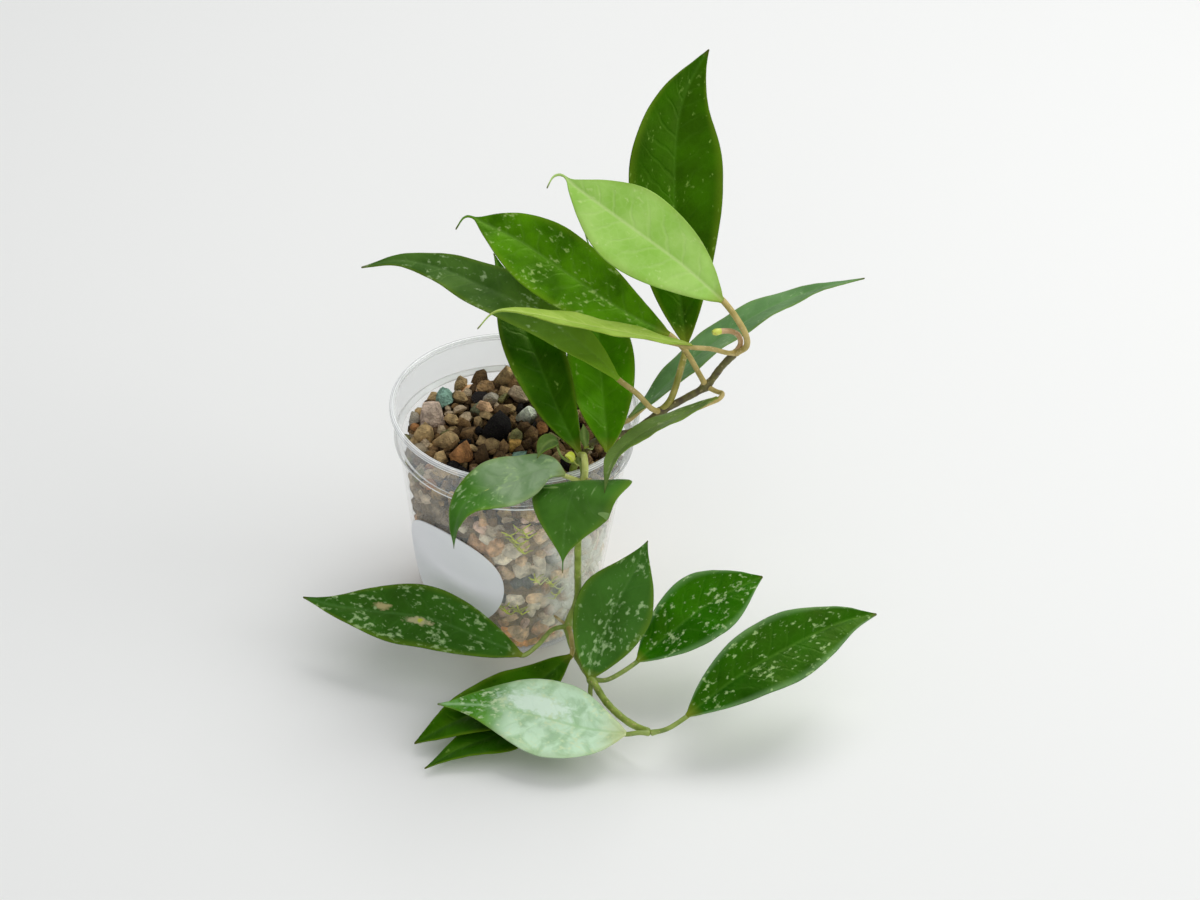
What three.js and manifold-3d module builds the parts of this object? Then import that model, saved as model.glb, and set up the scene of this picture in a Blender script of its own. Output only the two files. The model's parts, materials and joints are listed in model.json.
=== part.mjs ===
// A potted hoya: a clear plastic pot of coarse gravel with two leafy climbing stems.
// Lengths are in millimetres. +Z is up, +X is to the right and -Y is towards the viewer.
// The origin is the centre of the pot's underside.

import * as THREE from 'three';
import { mergeVertices } from 'three/addons/utils/BufferGeometryUtils.js';
import Module from 'manifold-3d';

const wasm = await Module();
wasm.setup();

// Driving dimensions of the pot
const POT_HEIGHT = 80;
const RIM_RADIUS = 40;
const LIP_HEIGHT = 1.8;
const COLLAR_RADIUS = 38.9;
const COLLAR_DEPTH = 13.8;
const LEDGE_RADIUS = 37.1;
const LEDGE_HEIGHT = POT_HEIGHT - COLLAR_DEPTH;
const BASE_RADIUS = 29;
const WALL = 0.9;
const POT_FLOOR = 1.2;
const POT_SIDES = 48;
const DRAIN_HOLES = 6;
const DRAIN_RADIUS = 3;
const DRAIN_CIRCLE = 18;

// The space kept between pieces that touch
const GAP = 0.3;

// Driving dimensions of the round paper label, wrapped on the wall
const LABEL_RADIUS = 20;
const LABEL_HEIGHT = 30;
const LABEL_TURN = THREE.MathUtils.degToRad(-36);
const LABEL_THICKNESS = 0.6;

// Driving dimensions of the gravel
const GRAVEL_EDGE = 62;
const GRAVEL_CROWN = 66.5;
const GRAVEL_GAP = 0.4;
const GRAVEL_ROWS = 13;
const GRAVEL_RELIEF = 1.5;
const GRAVEL_SLOPE = 0.08;
const STONES = 84;
const STONE_SMALL = 2.1;
const STONE_LARGE = 4.4;

// Driving dimensions of the stems and leaves
const STEM_RADIUS = 1.15;
const STEM_SIDES = 8;
const UPPER_STEPS = 22;
const LOWER_STEPS = 28;
const TIP_STEPS = 9;
const KNOT_RADIUS = 1.75;
const STALK_RADIUS = 0.9;
const STALK_SIDES = 5;
const BLADE_THICKNESS = 0.8;
const BLADE_ROWS = 8;
const BLADE_COLUMNS = 4;
const BLADE_NECK = 0.8;
const MIDRIB_INSET = 0.16;
const TIP_POINT = 0.5;

// Colours
const COLOURS = {
  plastic: 0xe9eceb,
  paper: 0xf2f2f4,
  gravel: 0x8a6c4f,
  bark: 0x5a4a3a,
  greenStem: 0x6f8f3a,
  darkLeaf: 0x2f6d1d,
  brightLeaf: 0x4f9a2b,
  paleLeaf: 0x84bd4f,
  freshLeaf: 0xc3d252,
};

// Knots are the swollen joints of a stem, where its leaves grow in pairs
const KNOTS = {
  rimBack: [31, -15.5, 81.2],
  upperFirst: [46, -14, 90],
  upperSecond: [59.8, -10.5, 98.5],
  upperThird: [68, -9.6, 111],
  rimFront: [23.3, -38, 79.3],
  lowerFirst: [20.4, -34.7, 18],
  lowerSecond: [29, -55, 13.5],
  lowerThird: [47.9, -77.9, 13],
};

// The woody upper stem climbs out of the gravel, over the rim and up to the right
const UPPER_STEM = [
  [22.5, -10.5, 52],
  [22.5, -11.5, 68],
  [25, -14.5, 76.5],
  KNOTS.rimBack,
  [37, -14.6, 82],
  [41, -14.8, 85.5],
  KNOTS.upperFirst,
  [53.2, -11.8, 94],
  KNOTS.upperSecond,
  [64.3, -9.4, 105.5],
  KNOTS.upperThird,
];

// Its growing tip curls back to the left and ends in a bright bud
const GROWING_TIP = [
  KNOTS.upperThird,
  [69.4, -10.4, 115],
  [68.6, -11.3, 118.8],
  [66.2, -12.4, 121],
  [63.3, -13.4, 121.6],
];
const BUD = [60.8, -14.4, 121.6];
const TIP_RADIUS = 0.9;
const BUD_RADIUS = 1.4;

// The green lower stem hangs over the front of the rim and trails to the right
const LOWER_STEM = [
  [19.5, -18, 52],
  [19.5, -18.5, 68],
  [21, -24, 77],
  [22.3, -31.5, 82.1],
  [23.2, -36, 82.1],
  KNOTS.rimFront,
  [23.2, -38.4, 72],
  [22.4, -36.8, 58],
  [22.7, -34.6, 42],
  [22.9, -33.6, 28],
  KNOTS.lowerFirst,
  [22, -40.4, 15],
  [25.6, -48.2, 13.5],
  KNOTS.lowerSecond,
  [34.4, -65.5, 13],
  [41, -72.8, 12.5],
  KNOTS.lowerThird,
];

// Short aerial roots that stand out from the lower stem
const AERIAL_ROOT_RADIUS = 0.5;
const AERIAL_ROOTS = [
  [KNOTS.lowerFirst, [17.6, -34.6, 20.4], [15.8, -34.8, 22.2]],
  [KNOTS.rimFront, [25.2, -39.8, 82], [26.6, -40.6, 81]],
];

// Every leaf: the knot it grows from, the points of its stalk and of its midrib from base to
// tip, its full width, where along it it is widest, which way its upper side faces at the base
// and at the tip, and how far its two halves fold up, in degrees. A point of 1 gives a drawn-out
// tip and 0 a blunt one. A drip is the share of the length that is a thin tail. A small leaf
// grows from a place along a stem, and has fewer rows.
const LEAVES = {
  upper_leaf_1: {
    knot: 'upperFirst', stalk: [[49, -12.5, 94], [51.5, -7.5, 101.5]],
    midrib: [[53, -1.5, 107.5], [50, 9, 121], [48, 19, 133], [46.5, 37, 154.5],
      [48, 47, 166.5], [52.5, 54.5, 175], [55.5, 58, 179.5]],
    width: 31, widest: 0.56, point: 0.3, faces: [[0.05, -0.8, 0.6], [0.3, -0.7, 0.6]], fold: 10,
  },
  upper_leaf_2: {
    knot: 'upperThird', stalk: [[71.2, -12.2, 115.5], [70.6, -13, 120.5], [67, -11, 125.8]],
    midrib: [[63, -7.5, 129], [50, -2.5, 138], [37, 2, 145.3], [24.5, 6.5, 152],
      [15.5, 10.5, 156.5], [12, 13, 158.5], [9.5, 13, 158], [7.5, 10.5, 155]],
    width: 26, widest: 0.5, point: 0, drip: 0.13,
    faces: [[-0.1, -0.75, 0.6], [-0.2, -0.7, 0.65]], fold: 6, color: 'paleLeaf',
  },
  upper_leaf_3: {
    knot: 'upperSecond', stalk: [[57.5, -10.8, 103], [53, -8.4, 109.5]],
    midrib: [[47.5, -5.5, 114], [35, -0.5, 117], [22, 6, 121.5], [10.5, 12, 126], [-1, 18, 130.3],
      [-12, 23, 132.8], [-18, 25, 134], [-21, 22.5, 130.5]],
    width: 24, widest: 0.54, point: -0.2, drip: 0.1,
    faces: [[-0.2, -0.6, 0.78], [-0.1, -0.6, 0.8]], fold: 12,
  },
  upper_leaf_4: {
    knot: 'upperFirst', stalk: [[43, -16.2, 93], [38.5, -14.5, 97]],
    midrib: [[32.5, -12, 100.5], [25.5, -6.5, 104.5], [15.5, 0.5, 108.5], [3.5, 7, 112.5],
      [-12.5, 14.5, 115], [-25.5, 20.5, 116.5], [-38.5, 24, 116.5], [-51, 23.5, 113.5]],
    width: 17, widest: 0.48, faces: [[-0.2, -0.5, 0.85], [-0.1, -0.35, 0.93]], fold: 10,
  },
  upper_leaf_5: {
    knot: 'upperThird', stalk: [[65.5, -12.6, 113], [60, -14, 115.2]],
    midrib: [[54.5, -14.5, 116.5], [38, -15.5, 120], [19.5, -17.5, 124.5], [4.5, -18.5, 128],
      [-6, -20, 129], [-11, -24.5, 125.5]],
    width: 21, widest: 0.45, drip: 0.08,
    faces: [[-0.15, 0.35, 0.93], [-0.1, 0.3, 0.93]], fold: 4, color: 'paleLeaf',
  },
  upper_leaf_6: {
    knot: 'rimBack', stalk: [[33.5, -12.4, 83]],
    midrib: [[36.5, -9.5, 84], [46, -2.5, 90], [55, 6, 95.5], [65.5, 13, 101.5], [79.5, 21, 107.5],
      [95.5, 28.5, 111], [110, 33.5, 112.5]],
    width: 21, widest: 0.5, faces: [[-0.3, 0.25, 0.92], [-0.15, 0.3, 0.93]], fold: 6,
  },
  upper_leaf_7: {
    knot: 'upperSecond', stalk: [[63, -13, 98.4], [65, -15.4, 99.4]],
    midrib: [[63.5, -17.5, 99.5], [55, -23, 98], [45.5, -29, 96.3], [38.5, -35, 95.2],
      [33.5, -42, 94.8], [31, -49.2, 94], [30, -57, 90.8]],
    width: 12.5, widest: 0.5, faces: [[-0.2, 0.33, 0.9], [-0.7, -0.1, 0.7]], fold: 5,
  },
  middle_leaf_1: {
    knot: 'rimFront', stalk: [[23.6, -37.8, 84.4], [23, -33, 85.6], [22.2, -28.5, 82.6]],
    midrib: [[21.5, -24.5, 80.5], [13.5, -12, 88.5], [5.5, 3, 98.5], [-3, 20, 107.5],
      [-9.5, 34, 114.5]],
    width: 19, widest: 0.5, faces: [[0.1, -0.55, 0.8], [0, -0.6, 0.8]], fold: 12,
  },
  middle_leaf_2: {
    knot: 'rimBack', stalk: [[30.4, -19.6, 81.4]],
    midrib: [[30, -24, 81], [29.5, -17, 84], [28, -7, 88.5], [26, 7.5, 97.5], [24, 24.5, 108.5],
      [22, 35, 114.5], [19.5, 42, 118.5]],
    width: 22, widest: 0.4, drip: 0.08,
    faces: [[0.05, -0.55, 0.83], [0.1, -0.6, 0.8]], fold: 10,
  },
  rim_leaf_1: {
    knot: 'rimFront', stalk: [[18.5, -39.4, 82.5]],
    midrib: [[12, -38.4, 84.4], [3.5, -41.4, 82.4], [-5.5, -45.2, 80.5], [-12.5, -50.5, 78.5],
      [-15, -55, 73.5], [-15, -58.5, 67.5]],
    width: 19, widest: 0.4, faces: [[0, -0.2, 1], [-0.75, -0.55, 0.25]], fold: 4,
  },
  rim_leaf_2: {
    knot: 'rimFront', stalk: [[23.3, -40.8, 80.4]],
    midrib: [[23.4, -41.8, 81.4], [23, -44.8, 85.2], [21.8, -49.1, 86.6], [19.6, -54.1, 82],
      [18.2, -58.6, 73.7], [18.4, -62, 63]],
    width: 33, widest: 0.25, point: 1.2, faces: [[-0.1, 0.7, 0.7], [-0.25, -0.8, 0.6]], fold: -4,
  },
  lower_leaf_1: {
    knot: 'lowerFirst', stalk: [[15.5, -38.8, 19.6], [11, -46, 18.8]],
    midrib: [[6.5, -50.5, 18.5], [-7.5, -46, 21], [-23.5, -40.5, 23], [-43, -38, 23],
      [-56, -36.5, 23.5], [-65, -33.5, 23.5]],
    width: 21.5, widest: 0.5, faces: [[-0.05, -0.5, 0.87], [-0.05, -0.5, 0.87]], fold: 6,
  },
  lower_leaf_2: {
    knot: 'lowerFirst', stalk: [[21.4, -38.8, 18.6], [22, -43, 17.8]],
    midrib: [[22, -46.5, 16], [11, -57, 12.5], [-3, -65.8, 9.4], [-15, -73.2, 8.2],
      [-25.5, -78.4, 4]],
    width: 19, widest: 0.5, point: 0.1, faces: [[-0.1, -0.3, 0.95], [-0.1, -0.3, 0.95]],
    fold: 8,
  },
  lower_leaf_3: {
    knot: 'lowerSecond', stalk: [],
    midrib: [[28, -55.5, 14.5], [31, -48.5, 22.5], [35, -41, 32], [40, -34, 40],
      [44.5, -26.5, 48.5]],
    width: 25, widest: 0.5, faces: [[-0.05, -0.75, 0.65], [-0.05, -0.75, 0.65]], fold: 6,
  },
  lower_leaf_4: {
    knot: 'lowerSecond', stalk: [[33.5, -56, 14.6], [38.5, -54, 16.6]],
    midrib: [[43, -51, 19], [53, -44, 25], [63, -36.5, 30], [74, -30.5, 34], [82, -26.5, 36]],
    width: 24, widest: 0.56, point: 0.1, faces: [[-0.15, -0.45, 0.88], [-0.15, -0.45, 0.88]], fold: 6,
    color: 'brightLeaf',
  },
  lower_leaf_5: {
    knot: 'lowerThird', stalk: [[53, -77.4, 14.6]],
    midrib: [[59, -74.5, 18], [75.5, -63, 26], [92, -53, 31], [107, -45, 34.5],
      [118, -41, 35]],
    width: 24.5, widest: 0.52, point: 0.2, faces: [[-0.1, -0.42, 0.9], [-0.1, -0.4, 0.9]], fold: 6,
    color: 'brightLeaf',
  },
  lower_leaf_6: {
    knot: 'lowerThird', stalk: [[44.5, -78.4, 13.4]],
    midrib: [[40.5, -78.5, 13], [29, -77, 12.5], [15, -74, 13.5], [-1, -71, 14.5],
      [-19, -70, 13.5]],
    width: 28, widest: 0.4, point: 0.6, faces: [[0, -0.3, 0.95], [0, -0.3, 0.95]], fold: 3,
  },
  lower_leaf_7: {
    knot: 'lowerSecond', stalk: [[28.6, -57.2, 11.4]],
    midrib: [[28.5, -59, 10], [15, -66, 8], [-0.5, -75, 6], [-12.5, -82, 5],
      [-21.5, -88.5, 3]],
    width: 19, widest: 0.45, faces: [[0, 0, 1], [0, 0, 1]], fold: 3,
  },
  folded_leaf: {
    from: [21.9, -29.9, 81.2], stalk: [[18.6, -31.8, 82.2], [15.8, -31.4, 84.2]],
    midrib: [[14.9, -30, 86.4], [13.8, -29.2, 88.2], [11.9, -31, 88.9], [10.2, -33.6, 88.4],
      [8.8, -36.2, 86.6]],
    width: 6, widest: 0.5, faces: [[0.8, 0.2, 0.4], [-0.3, 0.2, 0.9]], fold: 8, rows: 6,
  },
  young_leaf: {
    from: [22.6, -33.6, 82.1], stalk: [[20.6, -34.4, 83.4]],
    midrib: [[19.9, -34.6, 85.2], [18.9, -34.8, 86.7], [17, -35.4, 87.4]],
    width: 3.2, widest: 0.5, faces: [[0.6, -0.6, 0.6], [0, -0.3, 1]], fold: 8, rows: 4,
    color: 'freshLeaf',
  },
  sprout_leaf: {
    from: [24.6, -14, 75.4], stalk: [[25.6, -20, 79.5], [25, -25, 82.4]],
    midrib: [[23.6, -26.6, 84.4], [22.9, -24.9, 86.6], [22.2, -20.7, 88.8]],
    width: 3.2, widest: 0.5, faces: [[0, -0.8, 0.3], [0, -0.8, 0.5]], fold: 8, rows: 4,
    color: 'freshLeaf',
  },
};

function vectors(points) {
  return points.map((point) => new THREE.Vector3(...point));
}

// A curve through points in space
function curveThrough(points) {
  return new THREE.CatmullRomCurve3(vectors(points), false, 'centripetal');
}

// Random numbers from a seed, the same on every run
function seededRandom(seed) {
  let state = seed;
  return () => {
    state = (state * 1664525 + 1013904223) % 4294967296;
    return state / 4294967296;
  };
}

// A closed geometry as a solid that can be joined and cut
function solid(geometry) {
  const bare = geometry.index ? geometry.toNonIndexed() : geometry.clone();
  bare.deleteAttribute('normal');
  bare.deleteAttribute('uv');
  const merged = mergeVertices(bare, 1e-4);
  const corners = merged.index.array;
  const triangles = [];
  for (let i = 0; i < corners.length; i += 3) {
    const [a, b, c] = [corners[i], corners[i + 1], corners[i + 2]];
    if (a !== b && b !== c && c !== a) triangles.push(a, b, c);
  }
  const vertProperties = new Float32Array(merged.attributes.position.array);
  if (signedVolume(vertProperties, triangles) < 0) triangles.reverse();
  const mesh = new wasm.Mesh({ numProp: 3, vertProperties, triVerts: new Uint32Array(triangles) });
  return new wasm.Manifold(mesh);
}

function signedVolume(positions, triangles) {
  const [a, b, c] = vectors([[], [], []]);
  let volume = 0;
  for (let i = 0; i < triangles.length; i += 3) {
    a.fromArray(positions, 3 * triangles[i]);
    b.fromArray(positions, 3 * triangles[i + 1]);
    c.fromArray(positions, 3 * triangles[i + 2]);
    volume += a.dot(b.cross(c));
  }
  return volume;
}

// The largest body of a solid, without loose scraps that a cut can leave
function largestBody(shape) {
  return shape.decompose().reduce((best, body) => (body.volume() > best.volume() ? body : best));
}

function joined(shapes) {
  return shapes.reduce((all, shape) => all.add(shape));
}

// A named mesh from a solid
function meshOf(name, shape, color, roughness) {
  const { vertProperties, triVerts } = largestBody(shape).getMesh();
  const geometry = new THREE.BufferGeometry();
  geometry.setAttribute('position', new THREE.BufferAttribute(vertProperties, 3));
  geometry.setIndex(new THREE.BufferAttribute(triVerts, 1));
  const material = new THREE.MeshStandardMaterial({ color, roughness, metalness: 0, flatShading: true });
  const mesh = new THREE.Mesh(geometry, material);
  mesh.name = name;
  return mesh;
}

// A body turned about the pot's axis from a profile of [radius, height] points
function turned(profile) {
  const points = profile.map(([radius, height]) => new THREE.Vector2(radius, height));
  return new THREE.LatheGeometry(points, POT_SIDES).rotateX(Math.PI / 2);
}

// A round tube along a curve
function tube(points, radius, sides, steps) {
  const corners = Array.from({ length: sides }, (_, i) => {
    const angle = (2 * Math.PI * i) / sides;
    return new THREE.Vector2(radius * Math.cos(angle), radius * Math.sin(angle));
  });
  const settings = { steps, bevelEnabled: false, extrudePath: curveThrough(points) };
  return solid(new THREE.ExtrudeGeometry(new THREE.Shape(corners), settings));
}

function ball(centre, radius, detail = 1) {
  return solid(new THREE.IcosahedronGeometry(radius, detail).translate(...centre));
}

// The outer radius of the pot's tapered wall at a height
function wallRadius(height) {
  return THREE.MathUtils.mapLinear(height, 0, LEDGE_HEIGHT, BASE_RADIUS, LEDGE_RADIUS);
}

// A thin tapered cup with a stepped collar, a rolled lip and drain holes in its floor
function pot() {
  const lipFoot = POT_HEIGHT - LIP_HEIGHT;
  const shell = turned([
    [0, 0],
    [BASE_RADIUS - 0.6, 0],
    [BASE_RADIUS, 0.6],
    [LEDGE_RADIUS, LEDGE_HEIGHT],
    [COLLAR_RADIUS - 0.3, LEDGE_HEIGHT + 1],
    [COLLAR_RADIUS, lipFoot],
    [RIM_RADIUS, lipFoot],
    [RIM_RADIUS, POT_HEIGHT],
    [COLLAR_RADIUS - WALL, POT_HEIGHT],
    [COLLAR_RADIUS - WALL - 0.3, LEDGE_HEIGHT + 1 + WALL],
    [LEDGE_RADIUS - WALL, LEDGE_HEIGHT + WALL],
    [wallRadius(POT_FLOOR) - WALL, POT_FLOOR],
    [0, POT_FLOOR],
  ]);
  const holes = Array.from({ length: DRAIN_HOLES }, (_, i) => {
    const angle = (2 * Math.PI * i) / DRAIN_HOLES;
    const hole = new THREE.CylinderGeometry(DRAIN_RADIUS, DRAIN_RADIUS, 6, 12).rotateX(Math.PI / 2);
    hole.translate(DRAIN_CIRCLE * Math.cos(angle), DRAIN_CIRCLE * Math.sin(angle), 0);
    return solid(hole);
  });
  return meshOf('pot', solid(shell).subtract(joined(holes)), COLOURS.plastic, 0.25);
}

// A round paper sticker that follows the curve of the wall
function label() {
  const low = LABEL_HEIGHT - LABEL_RADIUS - 1;
  const high = LABEL_HEIGHT + LABEL_RADIUS + 1;
  const inside = (height) => wallRadius(height) + GAP;
  const outside = (height) => inside(height) + LABEL_THICKNESS;
  const sleeve = turned([
    [inside(low), low],
    [outside(low), low],
    [outside(high), high],
    [inside(high), high],
    [inside(low), low],
  ]);
  const radius = wallRadius(LABEL_HEIGHT);
  const halfWidth = radius * Math.sin(LABEL_RADIUS / radius);
  const cutter = new THREE.CylinderGeometry(LABEL_RADIUS, LABEL_RADIUS, 2 * radius, 32);
  cutter.scale(halfWidth / LABEL_RADIUS, 1, 1);
  cutter.translate(0, -radius, LABEL_HEIGHT);
  cutter.rotateZ(LABEL_TURN);
  return meshOf('label', solid(sleeve).intersect(solid(cutter)), COLOURS.paper, 0.8);
}

// The height of the gravel's surface, highest behind
function gravelHeight(x, y) {
  const inner = wallRadius(GRAVEL_EDGE);
  const across = Math.hypot(x, y) / inner;
  return THREE.MathUtils.lerp(GRAVEL_CROWN, GRAVEL_EDGE, across * across) + GRAVEL_SLOPE * y;
}

// The packed mass of gravel, with lumps of stone size all over its side and a tilted top
function gravelCore() {
  const outside = (height) => wallRadius(height) - WALL - GRAVEL_GAP;
  const floor = POT_FLOOR + GAP;
  const side = Array.from({ length: GRAVEL_ROWS + 1 }, (_, i) => {
    const height = THREE.MathUtils.lerp(floor, GRAVEL_EDGE, i / GRAVEL_ROWS);
    return [outside(height), height];
  });
  const geometry = turned([[0, floor], ...side, [0, GRAVEL_CROWN]]);
  const position = geometry.attributes.position;
  for (let i = 0; i < position.count; i += 1) {
    const [x, y, z] = [position.getX(i), position.getY(i), position.getZ(i)];
    const angle = Math.atan2(y, x);
    const waves = Math.sin(13 * angle + 0.5 * z) * Math.sin(0.85 * z - 5 * angle);
    const inset = 1 - (GRAVEL_RELIEF * (0.5 + 0.5 * waves)) / LEDGE_RADIUS;
    const tilt = (GRAVEL_SLOPE * y * (z - floor)) / GRAVEL_EDGE;
    if (Math.hypot(x, y) > 1) position.setXYZ(i, x * inset, y * inset, z + tilt);
  }
  return solid(geometry);
}

// One rough stone with its corners pushed in and out
function stone(centre, size, random) {
  const geometry = mergeVertices(bareIcosahedron());
  const position = geometry.attributes.position;
  for (let i = 0; i < position.count; i += 1) {
    const reach = size * (0.8 + 0.4 * random());
    position.setXYZ(i, position.getX(i) * reach, position.getY(i) * reach, position.getZ(i) * reach);
  }
  geometry.scale(1, 0.75 + 0.35 * random(), 0.65 + 0.25 * random());
  geometry.rotateZ(2 * Math.PI * random());
  geometry.rotateX(0.8 * (random() - 0.5));
  return solid(geometry.translate(...centre));
}

function bareIcosahedron() {
  const geometry = new THREE.IcosahedronGeometry(1, 0);
  geometry.deleteAttribute('normal');
  geometry.deleteAttribute('uv');
  return geometry;
}

// Stones all over the surface, placed on a spiral and sunk into the core
function topStones() {
  const random = seededRandom(7);
  const goldenAngle = Math.PI * (3 - Math.sqrt(5));
  return Array.from({ length: STONES }, (_, i) => {
    const reach = (wallRadius(GRAVEL_EDGE) - 3.2) * Math.sqrt((i + 0.5) / STONES);
    const angle = i * goldenAngle;
    const [x, y] = [reach * Math.cos(angle), reach * Math.sin(angle)];
    const size = THREE.MathUtils.lerp(STONE_SMALL, STONE_LARGE, random() ** 1.4);
    const height = gravelHeight(x, y) + 0.3 * size + 0.8 * (random() - 0.5);
    return stone([x, y, height], size, random);
  });
}

// Everything inside the pot's wall that the gravel may fill
function potInside() {
  const floor = POT_FLOOR + GAP;
  const inset = WALL + GRAVEL_GAP;
  return solid(turned([
    [0, floor],
    [wallRadius(floor) - inset, floor],
    [LEDGE_RADIUS - inset, LEDGE_HEIGHT],
    [LEDGE_RADIUS - inset, POT_HEIGHT],
    [0, POT_HEIGHT],
  ]));
}

function gravel(stemRoom) {
  const heap = joined([gravelCore(), ...topStones()]).intersect(potInside());
  return meshOf('gravel', heap.subtract(stemRoom), COLOURS.gravel, 0.95);
}

// A stem with its knots, made larger by a margin where it only clears a space
function stemBody(points, knots, steps, margin = 0) {
  const stretch = tube(points, STEM_RADIUS + margin, STEM_SIDES, steps);
  return joined([stretch, ...knots.map((name) => ball(KNOTS[name], KNOT_RADIUS + margin))]);
}

function upperStem() {
  const knots = ['rimBack', 'upperFirst', 'upperSecond', 'upperThird'];
  return {
    body: joined([
      stemBody(UPPER_STEM, knots, UPPER_STEPS),
      tube([...GROWING_TIP, BUD], TIP_RADIUS, STEM_SIDES, TIP_STEPS),
      ball(BUD, BUD_RADIUS),
    ]),
    room: joined([
      stemBody(UPPER_STEM, knots, UPPER_STEPS, GAP),
      tube([...GROWING_TIP, BUD], TIP_RADIUS + GAP, STEM_SIDES, TIP_STEPS),
      ball(UPPER_STEM[0], STEM_RADIUS + 2 * GAP),
    ]),
  };
}

function aerialRoots(margin = 0) {
  return AERIAL_ROOTS.map((points) => tube(points, AERIAL_ROOT_RADIUS + margin, STALK_SIDES, 5));
}

function lowerStem() {
  const knots = ['rimFront', 'lowerFirst', 'lowerSecond', 'lowerThird'];
  return {
    body: joined([stemBody(LOWER_STEM, knots, LOWER_STEPS), ...aerialRoots()]),
    room: joined([
      stemBody(LOWER_STEM, knots, LOWER_STEPS, GAP),
      ball(LOWER_STEM[0], STEM_RADIUS + 2 * GAP),
      ...aerialRoots(GAP),
    ]),
  };
}

// Half the width of a leaf at a place along it, from 0 at the base to 1 at the tip
function halfWidth(leaf, along) {
  if (along < leaf.widest) {
    return (leaf.width / 2) * Math.sin((Math.PI / 2) * (along / leaf.widest)) ** 0.8;
  }
  const blade = 1 - (leaf.drip ?? 0);
  const rest = Math.min((along - leaf.widest) / (blade - leaf.widest), 1);
  const blunt = Math.cos((Math.PI / 2) * rest);
  const drawnOut = (1 + Math.cos(Math.PI * rest)) / 2;
  return (leaf.width / 2) * THREE.MathUtils.lerp(blunt, drawnOut, leaf.point ?? TIP_POINT);
}

// A point of the blade: along from base to tip, across from -1 to 1, and above or below
function bladePoint(leaf, spine, along, across, above) {
  const centre = spine.getPointAt(along);
  const forward = spine.getTangentAt(along);
  const [base, tip] = vectors(leaf.faces);
  const side = base.lerp(tip, along).cross(forward).normalize();
  const up = forward.clone().cross(side);
  const fold = THREE.MathUtils.degToRad(leaf.fold);
  const reach = Math.max(halfWidth(leaf, along), BLADE_NECK);
  return centre
    .addScaledVector(side, reach * across * Math.cos(fold))
    .addScaledVector(up, reach * Math.abs(across) * Math.sin(fold))
    .addScaledVector(up, above * (BLADE_THICKNESS / 2));
}

// A closed thin blade: two alike grids of triangles joined round the margin
function bladeGeometry(leaf) {
  const spine = curveThrough(leaf.midrib);
  const places = [];
  const corners = [];
  const rowLength = BLADE_COLUMNS + 1;
  const rows = leaf.rows ?? BLADE_ROWS;
  const layer = (rows + 1) * rowLength;
  for (const above of [1, -1]) {
    for (let i = 0; i <= rows; i += 1) {
      for (let j = 0; j <= BLADE_COLUMNS; j += 1) {
        const point = bladePoint(leaf, spine, i / rows, (2 * j) / BLADE_COLUMNS - 1, above);
        places.push(...point);
      }
    }
  }
  const triangle = (a, b, c) => corners.push(a, b, c, layer + a, layer + c, layer + b);
  for (let i = 0; i < rows; i += 1) {
    for (let j = 0; j < BLADE_COLUMNS; j += 1) {
      const k = i * rowLength + j;
      triangle(k, k + 1, k + rowLength + 1);
      triangle(k, k + rowLength + 1, k + rowLength);
    }
  }
  const margin = [];
  for (let j = 0; j <= BLADE_COLUMNS; j += 1) margin.push(j);
  for (let i = 1; i <= rows; i += 1) margin.push(i * rowLength + BLADE_COLUMNS);
  for (let j = BLADE_COLUMNS - 1; j >= 0; j -= 1) margin.push(rows * rowLength + j);
  for (let i = rows - 1; i >= 1; i -= 1) margin.push(i * rowLength);
  margin.forEach((a, n) => {
    const b = margin[(n + 1) % margin.length];
    corners.push(b, a, layer + a, b, layer + a, layer + b);
  });
  const geometry = new THREE.BufferGeometry();
  geometry.setAttribute('position', new THREE.Float32BufferAttribute(places, 3));
  geometry.setIndex(corners);
  return geometry;
}

// A leaf with its stalk, cut clear of the stems
function leafMesh(name, leaf, stemRoom) {
  const spine = curveThrough(leaf.midrib);
  const intoBlade = spine.getPointAt(MIDRIB_INSET).toArray();
  const root = leaf.from ?? KNOTS[leaf.knot];
  const stalkPath = [root, ...leaf.stalk, leaf.midrib[0], intoBlade];
  const stalk = tube(stalkPath, STALK_RADIUS, STALK_SIDES, 2 + stalkPath.length);
  const body = solid(bladeGeometry(leaf)).add(stalk).subtract(stemRoom);
  return meshOf(name, body, COLOURS[leaf.color ?? 'darkLeaf'], 0.35);
}

const upper = upperStem();
const lower = lowerStem();
const stemRoom = upper.room.add(lower.room);

const plant = new THREE.Group();
plant.add(
  meshOf('upper_stem', upper.body, COLOURS.bark, 0.7),
  meshOf('lower_stem', lower.body, COLOURS.greenStem, 0.5),
);
for (const [name, leaf] of Object.entries(LEAVES)) plant.add(leafMesh(name, leaf, stemRoom));

const pottedHoya = new THREE.Group();
pottedHoya.add(pot(), label(), gravel(stemRoom), plant);

export default pottedHoya;
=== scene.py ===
# %% [markdown]
# # A potted hoya in a clear nursery pot
# The object is a young climbing houseplant: two stems with long glossy leaves, rooted in coarse
# gravel in a thin frosted pot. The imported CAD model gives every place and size. This lesson
# dresses it: each plain solid is replaced by a finer piece that keeps its form.
# All lengths are typed in millimetres and turned to metres at the last moment, because the
# frame is in metres.

import json
import math
import random
from collections import namedtuple
from functools import partial

import bmesh
import bpy
from mathutils import Matrix, Vector


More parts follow.
